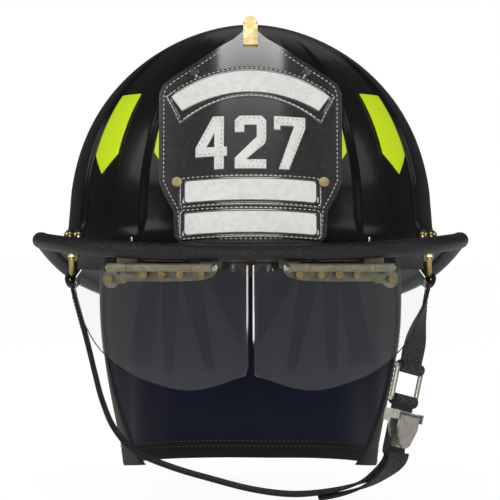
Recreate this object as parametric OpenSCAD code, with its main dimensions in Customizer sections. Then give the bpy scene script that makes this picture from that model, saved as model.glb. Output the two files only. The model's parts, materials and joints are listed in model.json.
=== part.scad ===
// Traditional firefighter helmet: ribbed shell with a wide brim, leather front, flip-down lenses,
// suspension with ratchet headband, neck curtain and a buckled chinstrap.
// Millimetres. The wearer's left is +X, the front faces -Y, up is +Z.
// The origin is the centre of the brim plane, where the head sits.

/* [Shell] */
// Half width of the dome where it meets the brim
dome_half_w = 125.5; // [118:0.5:132]
// Reach of the dome forward of the centre
dome_front = 138; // [132:1:142]
// Reach of the dome behind the centre
dome_rear = 150; // [142:1:158]
// Height of the crown above the brim plane
dome_h = 150; // [145:1:156]
// Wall of the shell
shell_wall = 3; // [2.5:0.1:3.6]
// Depth of the recessed panels between the ribs
panel_depth = 3; // [1.5:0.5:4]
// Radius where the dome blends into the brim
brim_blend = 10; // [7:1:12]
/* [Brim and bead] */
// Half width over the bead
brim_half_w = 150; // [148:1:156]
// Reach of the brim forward, over the bead
brim_front = 172; // [170:1:178]
// Reach of the brim behind, over the bead
brim_rear = 222; // [212:1:232]
// Height of the brim edge at the front
edge_z_front = -8; // [-10:1:-6]
// Height of the brim edge at the sides
edge_z_side = 1; // [-1:1:2]
// Height of the brim edge at the tail
edge_z_tail = -50; // [-60:1:-30]
// Diameter of the rubber edge bead
bead_d = 11; // [9:0.5:12]
/* [Reflective trim] */
// Height of the top of each patch
trim_top = 105; // [98:1:112]
// Height of the point at the bottom of each patch
trim_point = 49; // [40:1:56]
// Height of the bottom corners of each patch
trim_corner = 62; // [56:1:70]
// Thickness of the patches
trim_t = 0.6; // [0.4:0.1:1]
/* [Leather front] */
// Height of the leather front along its face
front_h = 148; // [140:1:152]
// Half width of the leather front at its widest
front_half_w = 59; // [54:1:62]
// Half width of the leather front at its foot
front_foot_w = 48; // [44:1:50]
// Thickness of the leather
leather_t = 2.6; // [2:0.1:3.2]
// Radius to which the leather is curved
front_r = 150; // [130:5:180]
// Lean of the leather front away from upright
front_lean = 20; // [17:0.5:22]
// Distance of the leather's foot forward of the centre
front_foot_y = 157; // [156:0.5:159]
// Height of the numerals
digit_h = 36; // [30:1:38]
// Width of each numeral
digit_w = 20; // [16:1:21]
// Width of the stroke of the numerals
digit_stroke = 6; // [4:0.5:7]
/* [Lenses] */
// Thickness of the lens
lens_t = 2.5; // [2:0.1:3]
// Distance of the lens behind its hinge
lens_back = 11; // [10:0.5:13]
// Radius of the hinge pin
pin_r = 1.2; // [1:0.1:1.5]
// Outer radius of the hinge knuckles
knuckle_r = 2.7; // [2.3:0.1:2.8]
// Height of the hinge
hinge_z = -17; // [-19:0.5:-16.5]
/* [Suspension] */
// Thickness of the impact liner
liner_t = 15; // [12:1:17]
// Half width of the headband, inside
band_half_w = 80; // [76:1:84]
// Half length of the headband, inside
band_half_l = 98; // [94:1:98]
// Thickness of the headband
band_t = 2.2; // [1.8:0.1:2.6]
// Height of the headband
band_h = 32; // [28:1:36]
// Width of the crown straps
crown_strap_w = 19; // [15:1:22]
// Height of the crown straps over their keys
crown_rise = 85; // [78:1:90]
/* [Ratchet] */
// Pitch radius of the pinion
pinion_r = 5; // [4.5:0.5:6]
// Radius of the knob
knob_r = 18; // [16:1:20]
// Depth of the knob
knob_h = 8.5; // [7:0.5:9]
// Length of each rack
rack_l = 55; // [50:1:56]
/* [Chinstrap] */
// Width of the webbing
webbing_w = 25; // [22:1:27]
// Thickness of the webbing
webbing_t = 2; // [1.6:0.1:2.4]
// Radius of the wire of the D-rings
ring_wire_r = 1.75; // [1.5:0.05:2]
// Radius of the arc of the D-rings, at the middle of the wire
ring_r = 15; // [14:0.5:16]
/* [Neck curtain] */
// Height of the hem at the back
curtain_hem = -160; // [-170:1:-140]
// Thickness of the cloth stack
curtain_t = 3; // [2:0.5:4]

/* [Hidden] */
eps = 0.01;
seat = 0.3;            // clearance of a curved seat
fit = 0.05;            // running clearance of a pin in its bore
hole_gap = 0.25;       // clearance of a screw in its hole

// ---- plan curves ----
dome_square = 2.1;     // squareness of the dome's plan
edge_square = 2.1;     // squareness of the brim's plan
rise_pow = 2.45;       // how late the dome closes in towards the crown
side_pow = 1.8;        // how full its shoulders are
bead_r = bead_d / 2;
grip = 1;              // how far the brim edge passes the middle of the bead

function clamp(x) = max(0, min(1, x));
function smooth(x) = let(c = clamp(x)) c * c * (3 - 2 * c);
function mix(a, b, s) = a * (1 - s) + b * s;
function plan(t, w, f, r, n) =
    let(b = sin(t) < 0 ? f : r)
    pow(pow(abs(cos(t)) / w, n) + pow(abs(sin(t)) / b, n), -1 / n);
function dome_r(t) = plan(t, dome_half_w, dome_front, dome_rear, dome_square);
function edge_r(t) =
    plan(t, brim_half_w - bead_r, brim_front - bead_r, brim_rear - bead_r, edge_square);
function edge_z(t) =
    let(s = sin(t))
    s < 0 ? mix(edge_z_side, edge_z_front, s * s) : mix(edge_z_side, edge_z_tail, pow(s, 1.4));
function dome_k(h) = pow(1 - pow(h / dome_h, rise_pow), 1 / side_pow);
function turn_of(p) = atan2((sin(p) < 0 ? dome_front : dome_rear) * sin(p), dome_half_w * cos(p));

// ---- ribs and panels, by the angle from the side of each quadrant ----
low_panel = [25, 42];
high_panel = [51, 68];
rib_side = 2;          // width of each rib's flank
fade_top = [112, 142]; // heights over which the ribs fade at the crown
fade_foot = [3, 12];   // heights over which they fade at the brim
function fold(p) = let(q = abs(((p % 180) + 180) % 180)) q > 90 ? 180 - q : q;
function trough(f, e) = clamp(min((f - e[0]) / rib_side, (e[1] - f) / rib_side));
function relief(p, h) =
    panel_depth * max(trough(fold(p), low_panel), trough(fold(p), high_panel))
    * (1 - smooth((h - fade_top[0]) / (fade_top[1] - fade_top[0])))
    * smooth((h - fade_foot[0]) / (fade_foot[1] - fade_foot[0]));
function part_of(a, b, n) = [for (i = [0 : n - 1]) a + (b - a) * i / n];
function across(e) = concat(
    part_of(e[0], e[0] + rib_side, 1), part_of(e[0] + rib_side, e[1] - rib_side, 2),
    part_of(e[1] - rib_side, e[1], 1));
quadrant = concat(
    part_of(0, low_panel[0], 3), across(low_panel), part_of(low_panel[1], high_panel[0], 2),
    across(high_panel), part_of(high_panel[1], 90, 3), [90]);
quarter = len(quadrant) - 1;
stations = concat(
    [for (i = [0 : quarter - 1]) quadrant[i]], [for (i = [quarter : -1 : 1]) 180 - quadrant[i]],
    [for (i = [0 : quarter - 1]) 180 + quadrant[i]], [for (i = [quarter : -1 : 1]) 360 - quadrant[i]]);

// ---- the shell's meridian, from the crown to the edge, as [radius, height] ----
crown_step = 7.5;
blend_from = 14;       // height at which the dome starts to flare
brim_steps = 3;
function dome_at(p, h) = [dome_r(turn_of(p)) * dome_k(h) - relief(p, h), h];
function brim_at(t, s) =
    [mix(dome_r(t), edge_r(t) + grip, s), (edge_z(t) + shell_wall / 2) * s];
function curve3(a, b, c, s) = mix(mix(a, b, s), mix(b, c, s), s);
function shell_line(p) =
    let(t = turn_of(p), r = dome_r(t), reach = edge_r(t) + grip - r, foot = brim_blend / reach)
    concat(
        [for (a = [90 - crown_step : -crown_step : crown_step])
            dome_at(p, dome_h * pow(sin(a), 2 / rise_pow))],
        [for (s = [0 : 0.25 : 1]) curve3(dome_at(p, blend_from), [r, 0], brim_at(t, foot), s)],
        [for (i = [1 : brim_steps]) brim_at(t, mix(foot, 1, i / brim_steps))]);
function inset(line, d) =
    [for (i = [0 : len(line) - 1])
        let(v = line[min(i + 1, len(line) - 1)] - line[max(i - 1, 0)])
        line[i] + d * [v[1], -v[0]] / norm(v)];
function spin(q, t) = [q[0] * cos(t), q[0] * sin(t), q[1]];
function rows_of(lines, turns) =
    [for (j = [0 : len(lines[0]) - 1]) [for (i = [0 : len(lines) - 1]) spin(lines[i][j], turns[i])]];
function reverse(v) = [for (i = [len(v) - 1 : -1 : 0]) v[i]];

// ---- solids from rings and from sections ----
function sum(v) = v * [for (x = v) 1];
function outward(points, tris) =
    sum([for (f = tris) cross(points[f[0]], points[f[1]]) * points[f[2]]]) > 0
        ? [for (f = tris) [f[0], f[2], f[1]]] : tris;
module bag(rows, top, bottom) {
    n = len(rows[0]);
    m = len(rows);
    last = 1 + n * m;
    points = concat([top], [for (r = rows) each r], [bottom]);
    tris = concat(
        [for (j = [0 : m - 2], i = [0 : n - 1])
            let(a = 1 + j * n + i, b = 1 + j * n + (i + 1) % n)
            each [[a, b, b + n], [a, b + n, a + n]]],
        [for (i = [0 : n - 1]) [0, 1 + (i + 1) % n, 1 + i]],
        [for (i = [0 : n - 1]) [last, 1 + (m - 1) * n + i, 1 + (m - 1) * n + (i + 1) % n]]);
    polyhedron(points, outward(points, tris), convexity = 10);
}
// Sections are closed loops of an even number of points; a loop of them needs no ends.
module sweep(sections, looped = false) {
    n = len(sections);
    m = len(sections[0]);
    half = m / 2;
    points = [for (s = sections) each s];
    last = (n - 1) * m;
    sides = [for (i = [0 : n - (looped ? 1 : 2)], j = [0 : m - 1])
        let(a = i * m + j, b = i * m + (j + 1) % m,
            c = ((i + 1) % n) * m + j, d = ((i + 1) % n) * m + (j + 1) % m)
        each [[a, b, d], [a, d, c]]];
    ends = looped ? [] : [for (k = [0 : half - 2])
        let(a = k, b = k + 1, c = m - 2 - k, d = m - 1 - k)
        each [[a, c, b], [a, d, c], [last + a, last + b, last + c], [last + a, last + c, last + d]]];
    tris = [for (f = concat(sides, ends)) if (f[0] != f[1] && f[1] != f[2] && f[0] != f[2]) f];
    polyhedron(points, outward(points, tris), convexity = 10);
}
module both() {
    children();
    mirror([1, 0, 0]) children();
}

// ---- shell, bead and trim ----
bolt_r = 2.4;
ring_nut_at = [[119.5, -75.5], [113, -86]];
screw_r = 1.6;
holder_screw_y = [-22, -40];
bracket_u = [[20, 34], [80, 94]];
chord_turn = atan2(48, 101);
chord_from = [3, -brim_front];
function chord_xy(u, v) =
    chord_from + u * [cos(chord_turn), sin(chord_turn)] + v * [sin(chord_turn), -cos(chord_turn)];
bracket_screw_v = -13;
front_screw_x = 46.7;
front_screw_up = 43.5;

module shell_holes() {
    both() {
        for (q = ring_nut_at)
            translate([q[0], q[1], -20]) cylinder(h = 40, r = bolt_r + hole_gap, $fn = 32);
        for (u = bracket_u)
            let(q = chord_xy((u[0] + u[1]) / 2, bracket_screw_v))
                translate([q[0], q[1], -20]) cylinder(h = 40, r = screw_r + hole_gap, $fn = 24);
        front_frame() translate([front_screw_x, 0, front_screw_up])
            rotate([90, 0, 0]) translate([0, 0, -60]) cylinder(h = 80, r = screw_r + hole_gap, $fn = 24);
    }
    for (y = holder_screw_y)
        translate([0, y, dome_h - 30]) cylinder(h = 40, r = screw_r + hole_gap, $fn = 24);
}
module outer_shell() color([0.1, 0.1, 0.1]) difference() {
    lines = [for (p = stations) shell_line(p)];
    turns = [for (p = stations) turn_of(p)];
    inner = [for (l = lines) reverse(inset(l, shell_wall))];
    bag(concat(rows_of(lines, turns), rows_of(inner, turns)),
        [0, 0, dome_h], [0, 0, dome_h - shell_wall]);
    shell_holes();
}

slot_half = shell_wall / 2 + 1.5 * seat;
bead_points = 11;
function bead_section(t) =
    let(v = brim_at(t, 1) - brim_at(t, 0.8), d = v / norm(v), u = [-d[1], d[0]],
        mid = brim_at(t, 1) - u * shell_wall / 2 - d * grip,
        lip = asin(slot_half / bead_r))
    concat(
        [for (i = [0 : bead_points])
            let(a = mix(-180 + lip, 180 - lip, i / bead_points))
            mid + d * bead_r * cos(a) + u * bead_r * sin(a)],
        [mid + d * (grip + seat) + u * slot_half, mid + d * (grip + seat) - u * slot_half]);
module edge_bead() color([0.06, 0.06, 0.06])
    sweep([for (p = stations) let(t = turn_of(p)) [for (q = bead_section(t)) spin(q, t)]], true);

function lifted(p, h, d) =
    let(v = dome_at(p, h - 1) - dome_at(p, h + 1))
    dome_at(p, h) + d * [-v[1], v[0]] / norm(v);
trim_inset = 3;        // angle kept clear beside each rib
trim_cols = 4;
trim_rows = 4;
function trim_foot(s) = mix(trim_point, trim_corner, abs(2 * s - 1));
function trim_section(e, s, q) =
    let(f = mix(e[0] + trim_inset, e[1] - trim_inset, s), p = q[0] + q[1] * f, t = turn_of(p),
        rise = [for (i = [0 : trim_rows]) mix(trim_foot(s), trim_top, i / trim_rows)])
    concat(
        [for (h = rise) spin(lifted(p, h, seat), t)],
        [for (h = reverse(rise)) spin(lifted(p, h, seat + trim_t), t)]);
module reflective_trim() color([0.8, 0.93, 0.12])
    for (e = [low_panel, high_panel], q = [[0, 1], [180, -1], [180, 1], [360, -1]])
        sweep([for (i = [0 : trim_cols]) trim_section(e, i / trim_cols, q)]);

// ---- leather front: x across, y into the leather, z up its face ----
module front_frame() translate([0, -front_foot_y, -2]) rotate([-front_lean, 0, 0]) children();
// A curved skin between two depths behind (+) or ahead (-) of the leather's face.
module front_skin(from, to, outline) intersection() {
    translate([0, front_r, 0]) difference() {
        translate([0, 0, -10]) cylinder(h = front_h + 30, r = front_r - from, $fn = 180);
        translate([0, 0, -20]) cylinder(h = front_h + 50, r = front_r - to, $fn = 180);
    }
    translate([0, 60, 0]) rotate([90, 0, 0]) linear_extrude(height = 80) polygon(outline);
}
function flip(pts) = concat(pts, [for (p = reverse(pts)) [-p[0], p[1]]]);
front_outline = flip([
    [8, 0.3], [20, 0.8], [32, 1.7], [front_foot_w - 4, 3], [front_foot_w, 8], [front_foot_w + 1, 25], [front_half_w - 4.5, 36],
    [front_half_w - 0.5, 46], [front_half_w, front_h - 51.5], [front_half_w, front_h - 40],
    [front_half_w - 2.5, front_h - 34.5], [front_half_w - 8, front_h - 30.5],
    [front_half_w - 25, front_h - 21], [front_half_w - 38, front_h - 12.5],
    [10.5, front_h - 6.5], [5.5, front_h - 2], [4, front_h]]);
module leather_front() color([0.07, 0.07, 0.07]) front_frame() difference() {
    front_skin(0, leather_t, front_outline);
    both() translate([front_screw_x, 30, front_screw_up])
        rotate([90, 0, 0]) cylinder(h = 60, r = screw_r + hole_gap, $fn = 24);
}
panel_t = 1.2;
panel_lift = 0.25;     // film of glue under the sewn-on pieces
band_deep = 14.5;      // width of the crescent
crescent_top = 118;
crescent_half = 50.7;
crescent_drop = 14.5;
crescent_ends = 6.8;   // how much shorter the inner curve is at each end
crescent_r = (crescent_half * crescent_half + crescent_drop * crescent_drop) / (2 * crescent_drop);
module crescent_panel() color([0.93, 0.93, 0.9]) front_frame()
    front_skin(-panel_t - panel_lift, -panel_lift, concat(
        [for (i = [-10 : 10]) let(x = crescent_half * i / 10)
            [x, crescent_top - crescent_r + sqrt(crescent_r * crescent_r - x * x)]],
        [for (i = [10 : -1 : -10]) let(x = (crescent_half - crescent_ends) * i / 10)
            [x, crescent_top - band_deep - crescent_r + sqrt(crescent_r * crescent_r - x * x)]]));
label_half_w = 41.5;
label_h = 14;
upper_label_z = 29.3;
lower_label_z = 7.5;
label_corner = 1.5;
module label(z) front_frame() front_skin(-panel_t - panel_lift, -panel_lift, flip([
    [label_half_w - label_corner, z], [label_half_w, z + label_corner],
    [label_half_w, z + label_h - label_corner], [label_half_w - label_corner, z + label_h]]));
module upper_panel() color([0.93, 0.93, 0.9]) label(upper_label_z);
module lower_panel() color([0.93, 0.93, 0.9]) label(lower_label_z);

// Block numerals four, two and seven, each an outline in its own cell.
digit_gap = 5;
digit_foot = 50.5;
sk = digit_stroke;
cut = digit_stroke / 2;
four = [
    [digit_w - sk - 2, 0], [digit_w - 2, 0], [digit_w - 2, 9], [digit_w, 9], [digit_w, 9 + sk],
    [digit_w - 2, 9 + sk], [digit_w - 2, digit_h], [digit_w - sk - 3, digit_h], [0, 9 + sk],
    [0, 9], [digit_w - sk - 2, 9]];
two = [
    [0, 0], [digit_w, 0], [digit_w, sk], [sk + 1, sk], [digit_w - 1, digit_h / 2 - 1],
    [digit_w, digit_h / 2 + 2], [digit_w, digit_h - cut], [digit_w - cut, digit_h],
    [cut, digit_h], [0, digit_h - cut], [0, digit_h - 11], [sk, digit_h - 11],
    [sk, digit_h - sk], [digit_w - sk, digit_h - sk], [digit_w - sk, digit_h / 2 + 3.5],
    [0, sk + 1]];
seven = [
    [3, 0], [3 + sk + 0.5, 0], [digit_w, digit_h - sk - 1], [digit_w, digit_h], [0, digit_h],
    [0, digit_h - sk - 3], [sk - 2, digit_h - sk - 3], [sk - 2, digit_h - sk],
    [digit_w - sk - 1, digit_h - sk]];
module digit_4() difference() {
    polygon(four);
    polygon([[digit_w - sk - 2, 9 + sk], [sk + 0.8, 9 + sk], [digit_w - sk - 2, digit_h - 11]]);
}
module digits(from, to) intersection() {
    translate([0, front_r, 0]) difference() {
        translate([0, 0, -10]) cylinder(h = front_h + 30, r = front_r - from, $fn = 180);
        translate([0, 0, -20]) cylinder(h = front_h + 50, r = front_r - to, $fn = 180);
    }
    translate([0, 60, 0]) rotate([90, 0, 0]) linear_extrude(height = 80) {
        translate([-1.5 * digit_w - digit_gap, digit_foot]) digit_4();
        translate([-0.5 * digit_w, digit_foot]) polygon(two);
        translate([0.5 * digit_w + digit_gap, digit_foot]) polygon(seven);
    }
}
module front_number() color([0.93, 0.93, 0.9]) front_frame() digits(-panel_t - panel_lift, -panel_lift);

function skin_y(x) = front_r - sqrt(front_r * front_r - x * x);
rivet_x = 36;
rivet_up = 119;
module front_rivets() color([0.8, 0.8, 0.82]) front_frame() both()
    translate([rivet_x, skin_y(rivet_x), rivet_up]) rotate([90, 0, asin(rivet_x / front_r)])
        translate([0, 0, seat]) cylinder(h = 1.3, r = 2.6, $fn = 32);
post_r = 3.6;
screw_len = 14.4;
module front_screws() color([0.72, 0.58, 0.28]) front_frame() both()
    translate([front_screw_x, skin_y(front_screw_x), front_screw_up]) rotate([90, 0, 0]) {
        translate([0, 0, 1.3]) cylinder(h = 1.6, r = 3.2, $fn = 32);
        translate([0, 0, 1.3 - screw_len]) cylinder(h = screw_len, r = screw_r, $fn = 24);
    }
post_l = 2.6;
module front_posts() color([0.2, 0.2, 0.2]) front_frame() both()
    translate([front_screw_x, skin_y(front_screw_x) + 4.6, front_screw_up]) rotate([-90, 0, 0])
        difference() {
            cylinder(h = post_l, r = post_r, $fn = 32);
            translate([0, 0, -1]) cylinder(h = post_l + 2, r = screw_r + hole_gap, $fn = 24);
        }

// ---- front holder: an arched strip from the crown to the tip of the leather ----
holder_w = 9.3;
holder_t = 2.2;
holder_back = -12;     // where the strip starts on the crown
holder_foot = -50;     // where it leaves the crown
function crown_z(y) = dome_h * pow(1 - pow(-y / dome_front, side_pow), 1 / rise_pow);
tip = [-front_foot_y + front_h * sin(front_lean), -2 + front_h * cos(front_lean)];
holder_line = concat(
    [for (i = [0 : 4]) let(y = mix(holder_back, holder_foot, i / 4)) [y, crown_z(y) + seat]],
    [for (i = [1 : 5]) let(s = i / 5)
        curve3([holder_foot, crown_z(holder_foot) + seat], [mix(holder_foot, tip[0], 0.5), tip[1] + 4.5],
            [tip[0] + 5.5, tip[1] + 1.5], s)]);
module holder_outline() polygon(concat(holder_line, reverse(
    [for (i = [0 : len(holder_line) - 1])
        let(v = holder_line[min(i + 1, len(holder_line) - 1)] - holder_line[max(i - 1, 0)])
        holder_line[i] + holder_t * [v[1], -v[0]] / norm(v)])));
grip_h = 12;
module front_holder() color([0.72, 0.56, 0.25]) difference() {
    union() {
        rotate([90, 0, 90]) translate([0, 0, -holder_w / 2]) linear_extrude(height = holder_w)
            holder_outline();
        front_frame() translate([-holder_w / 2, -1.8 - seat, front_h + seat]) {
            cube([holder_w, leather_t + 7.5, 2.2]);
            translate([0, 0, -grip_h]) cube([holder_w, 1.8, grip_h + 2.2]);
            translate([0, 1.8 + leather_t + 2 * seat, -grip_h / 2]) cube([holder_w, 1.6, grip_h / 2 + 2.2]);
            translate([holder_w / 2, 0, holder_w / 2 - 0.5]) rotate([-90, 0, 0])
                cylinder(h = 4, r = holder_w / 2 - 0.6, $fn = 48);
        }
    }
    for (y = holder_screw_y)
        translate([0, y, dome_h - 30]) cylinder(h = 60, r = screw_r + hole_gap, $fn = 24);
}
module holder_screws() color([0.72, 0.56, 0.25])
    for (y = holder_screw_y)
        translate([0, y, crown_z(y) + seat + holder_t + 1]) {
            cylinder(h = 1.5, r = 3, $fn = 32);
            translate([0, 0, -8.6]) cylinder(h = 9, r = screw_r, $fn = 24);
        }

// ---- impact liner, straps, pads and headband ----
liner_gap = panel_depth + shell_wall + 4.5 * seat;
liner_foot = 4;
liner_step = 10;
liner_turns = [for (i = [0 : 47]) i * 7.5];
function liner_line(t, d) =
    [for (a = [90 - liner_step : -liner_step : 0])
        let(h = mix(liner_foot, dome_h, pow(sin(a), 2 / rise_pow)), v = cos(a))
        [dome_r(t) * dome_k(h) - d * (0.35 + 0.65 * sqrt(v)), h - d * (1 - smooth((dome_h - h) / 70))]];
liner_knee = mix(liner_foot, dome_h, pow(sin(liner_step), 2 / rise_pow));
function liner_wall(t, h) =
    dome_r(t) * mix(dome_k(liner_foot), dome_k(liner_knee), (h - liner_foot) / (liner_knee - liner_foot))
    - liner_gap - liner_t;
module impact_liner() color([0.16, 0.16, 0.17]) {
    outer = [for (t = liner_turns) liner_line(t, liner_gap)];
    inner = [for (t = liner_turns) reverse(liner_line(t, liner_gap + liner_t))];
    bag(concat(rows_of(outer, liner_turns), rows_of(inner, liner_turns)),
        [0, 0, dome_h - liner_gap], [0, 0, dome_h - liner_gap - liner_t]);
}
band_square = 2.1;
band_top = 20;
function band_r(t, d) = plan(t, band_half_w + d, band_half_l + d, band_half_l + d, band_square);
function arc_of(a, b, n, d) =
    [for (i = [0 : n]) let(t = mix(a, b, i / n)) band_r(t, d) * [cos(t), sin(t)]];
function band_slice(a, b, n, d0, d1) = concat(arc_of(a, b, n, d1), reverse(arc_of(a, b, n, d0)));
band_open = 28;        // half angle of the gap behind, bridged by the ratchet
module headband() color([0.12, 0.12, 0.13]) translate([0, 0, band_top - band_h])
    linear_extrude(height = band_h)
        polygon(band_slice(90 + band_open, 450 - band_open, 60, 0, band_t));
pad_t = 3.5;
module brow_pad() color([0.3, 0.24, 0.18]) translate([0, 0, band_top - band_h - 2])
    linear_extrude(height = band_h + 3)
        polygon(band_slice(205, 335, 30, -pad_t - seat, -seat));

key_z = 24;
key_t = 3;
key_half_w = 11;
key_turns = [30, 90, 150, 210, 270, 330];
key_rise = 14;
key_skew = 1.4;        // room for the oval band turning under a square tab
function key_in(t) = band_r(t, band_t) + seat + (t % 90 == 0 ? 0 : key_skew);
key_hold = 0.65;       // clearance to the liner's faceted wall
key_bow = 0.6;         // bow of the wall across the width of a key
function key_out(t) =
    liner_wall(t, key_z + key_rise) - key_hold - key_bow - (t % 90 == 0 ? 0 : key_skew);
module suspension_key(t) rotate([0, 0, t]) {
    out = key_out(t);
    from = key_in(t);
    translate([from, -key_half_w, key_z]) cube([out - from, 2 * key_half_w, key_t]);
    translate([out - 2.5, -key_half_w, key_z]) cube([2.5, 2 * key_half_w, key_rise]);
    translate([from, -key_half_w + 3, key_z - 12]) cube([2.5, 2 * key_half_w - 6, 13]);
}
// The rear key reaches in to the ratchet housing.
rear_in = 101;
module suspension_keys() color([0.2, 0.2, 0.22]) {
    for (t = key_turns)
        if (t != 90) suspension_key(t);
    rear_out = key_out(90);
    translate([-key_half_w, rear_in, key_z]) cube([2 * key_half_w, rear_out - rear_in, key_t]);
    translate([-key_half_w, rear_out - 2.5, key_z]) cube([2 * key_half_w, 2.5, key_rise]);
    translate([-key_half_w, rear_in, house_top + seat]) cube([2 * key_half_w, 2.5, key_z - house_top]);
}
crown_strap_t = 1.4;
strap_layer = 2.3;     // height of each strap over the one it crosses
strap_foot_z = key_z + key_t + seat;
function strap_reach(t) = (t == 90 ? rear_in : key_in(t)) + 4;
function crown_line(t, i, d) =
    [for (a = [0 : 9 : 180])
        let(r = a <= 90 ? strap_reach(t) : strap_reach(t + 180))
        [(r + d) * cos(a), strap_foot_z + (crown_rise + strap_layer * i + d) * sin(a)]];
module crown_straps() color([0.09, 0.09, 0.1])
    for (i = [0 : 2])
        let(t = [90, 30, 150][i])
            rotate([0, 0, t]) rotate([90, 0, 0])
                translate([0, 0, -crown_strap_w / 2]) linear_extrude(height = crown_strap_w)
                    polygon(concat(crown_line(t, i, crown_strap_t), reverse(crown_line(t, i, 0))));
crown_pad_r = 36;
crown_pad_t = 6;
pad_curve = 78;        // half width of the tightest strap over the crown
function pad_z(r) = strap_foot_z + crown_rise * sqrt(1 - r * r / (pad_curve * pad_curve)) - 2 * seat;
module crown_pad() color([0.3, 0.24, 0.18]) rotate_extrude($fn = 72)
    polygon(concat(
        [for (i = [0 : 8]) let(r = crown_pad_r * i / 8) [r, pad_z(r)]],
        [for (i = [8 : -1 : 0]) let(r = crown_pad_r * i / 8) [r, pad_z(r) - crown_pad_t]]));

// ---- ratchet: two racks over and under a pinion, in a housing behind the head ----
house_half_w = 28;
house_y = 98;
house_wall = 2.4;
rack_t = 2.4;
rack_h = 6.2;
pinion_z = -8;
pinion_teeth = 10;
tooth_up = 0.6;
tooth_down = 0.9;
pitch = 2 * PI * pinion_r / pinion_teeth;
slot_y = house_y + house_wall;
slot_w = rack_t + 2 * seat;
slot_half_h = pinion_r + tooth_down + rack_h + seat;
back_wall = 3;
house_depth = house_wall + slot_w + back_wall;
house_top = pinion_z + slot_half_h + 2.5;
shaft_r = 3;
knob_bore = 5.2;       // depth of the knob's bore for the shaft
knob_y = house_y + house_depth + seat;
module ratchet_housing() color([0.13, 0.13, 0.14]) difference() {
    translate([-house_half_w, house_y, pinion_z - slot_half_h - 2.5])
        cube([2 * house_half_w, house_depth, 2 * slot_half_h + 5]);
    translate([-house_half_w - 1, slot_y, pinion_z - slot_half_h])
        cube([2 * house_half_w + 2, slot_w, 2 * slot_half_h]);
    translate([0, slot_y, pinion_z]) rotate([-90, 0, 0])
        cylinder(h = back_wall + slot_w + 2, r = shaft_r + fit, $fn = 48);
}
gear_root = pinion_r - tooth_down;
gear_tip = pinion_r + tooth_up;
function gear_tooth(a) =
    let(w0 = 0.34, w1 = 0.16, k = 180 / PI)
    [gear_root * [cos(a - k * w0 * pitch / gear_root), sin(a - k * w0 * pitch / gear_root)],
        gear_tip * [cos(a - k * w1 * pitch / gear_tip), sin(a - k * w1 * pitch / gear_tip)],
        gear_tip * [cos(a + k * w1 * pitch / gear_tip), sin(a + k * w1 * pitch / gear_tip)],
        gear_root * [cos(a + k * w0 * pitch / gear_root), sin(a + k * w0 * pitch / gear_root)]];
module ratchet_pinion() color([0.5, 0.5, 0.52]) translate([0, slot_y + seat, pinion_z])
    rotate([-90, 0, 0]) {
        linear_extrude(height = rack_t)
            polygon([for (i = [0 : pinion_teeth - 1]) each gear_tooth(90 + 360 * i / pinion_teeth)]);
        translate([0, 0, rack_t]) cylinder(h = seat + back_wall + knob_bore, r = shaft_r, $fn = 48);
    }
knob_grips = 12;
module ratchet_knob() color([0.12, 0.12, 0.13]) translate([0, knob_y, pinion_z]) rotate([-90, 0, 0])
    difference() {
        union() {
            cylinder(h = knob_h - 2, r = knob_r, $fn = 72);
            translate([0, 0, knob_h - 2]) cylinder(h = 2, r = knob_r - 2, $fn = 72);
        }
        for (i = [0 : knob_grips - 1])
            rotate([0, 0, i * 360 / knob_grips]) translate([knob_r + 1, 0, 3])
                cylinder(h = knob_h, r = 2.6, $fn = 24);
        translate([0, 0, -1]) cylinder(h = 1 + knob_bore, r = shaft_r + fit, $fn = 48);
    }
// Upper rack: teeth down, with a gap over the pinion's middle.
rack_in = -18;
rack_teeth_n = 11;
tooth_foot = 0.31;      // half width of a rack tooth at its foot, as a share of the pitch
tooth_tip = 0.13;       // the same at its tip
module rack_upper() translate([0, slot_y + seat, pinion_z + pinion_r]) rotate([90, 0, 0])
    translate([0, 0, -rack_t]) linear_extrude(height = rack_t) {
        translate([rack_in, tooth_down]) square([rack_l, rack_h]);
        for (i = [-5 : rack_teeth_n - 6]) translate([(i + 0.5) * pitch, 0])
            polygon([[-tooth_foot * pitch, tooth_down + eps], [-tooth_tip * pitch, -tooth_up],
                [tooth_tip * pitch, -tooth_up], [tooth_foot * pitch, tooth_down + eps]]);
    }
module rack_left() color([0.15, 0.15, 0.16]) rack_upper();
module rack_right() color([0.15, 0.15, 0.16]) translate([0, 0, 2 * pinion_z])
    mirror([0, 0, 1]) mirror([1, 0, 0]) rack_upper();
nape_half_w = 34;
module nape_pad() color([0.3, 0.24, 0.18])
    translate([0, house_y - seat, pinion_z]) rotate([90, 0, 0]) linear_extrude(height = 6)
        polygon(flip([[nape_half_w - 6, -17], [nape_half_w, -11], [nape_half_w, 11], [nape_half_w - 6, 17]]));

// ---- lenses: in the hinge frame x runs along the pin, y goes back, z up ----
hinge_v = 6;
module hinge_frame() translate([chord_xy(0, hinge_v)[0], chord_xy(0, hinge_v)[1], hinge_z])
    rotate([0, 0, chord_turn]) children();
module side_of(left) if (left) children(); else mirror([1, 0, 0]) children();
arm_t = 1.2;
plate_t = 1.2;
lens_top = -1.6;
lens_in = 5.5;
lens_out = 124;
lens_low = -77.5;
function catmull(a, b, c, d, s) =
    0.5 * (2 * b + (c - a) * s + (2 * a - 5 * b + 4 * c - d) * s * s + (3 * b - a - 3 * c + d) * s * s * s);
lens_knots = [
    [lens_in, lens_low + 22], [lens_in, lens_low + 14.5], [9.1, lens_low + 8.7], [27, lens_low + 2.4],
    [41.4, lens_low], [59.2, lens_low + 2.1], [82.4, lens_low + 9], [100.9, lens_low + 20.1],
    [111.4, lens_low + 30.8], [lens_out - 3.6, lens_low + 46.9], [lens_out, lens_low + 61.8],
    [lens_out, lens_top - 5], [lens_out - 1, lens_top - 1]];
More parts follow.
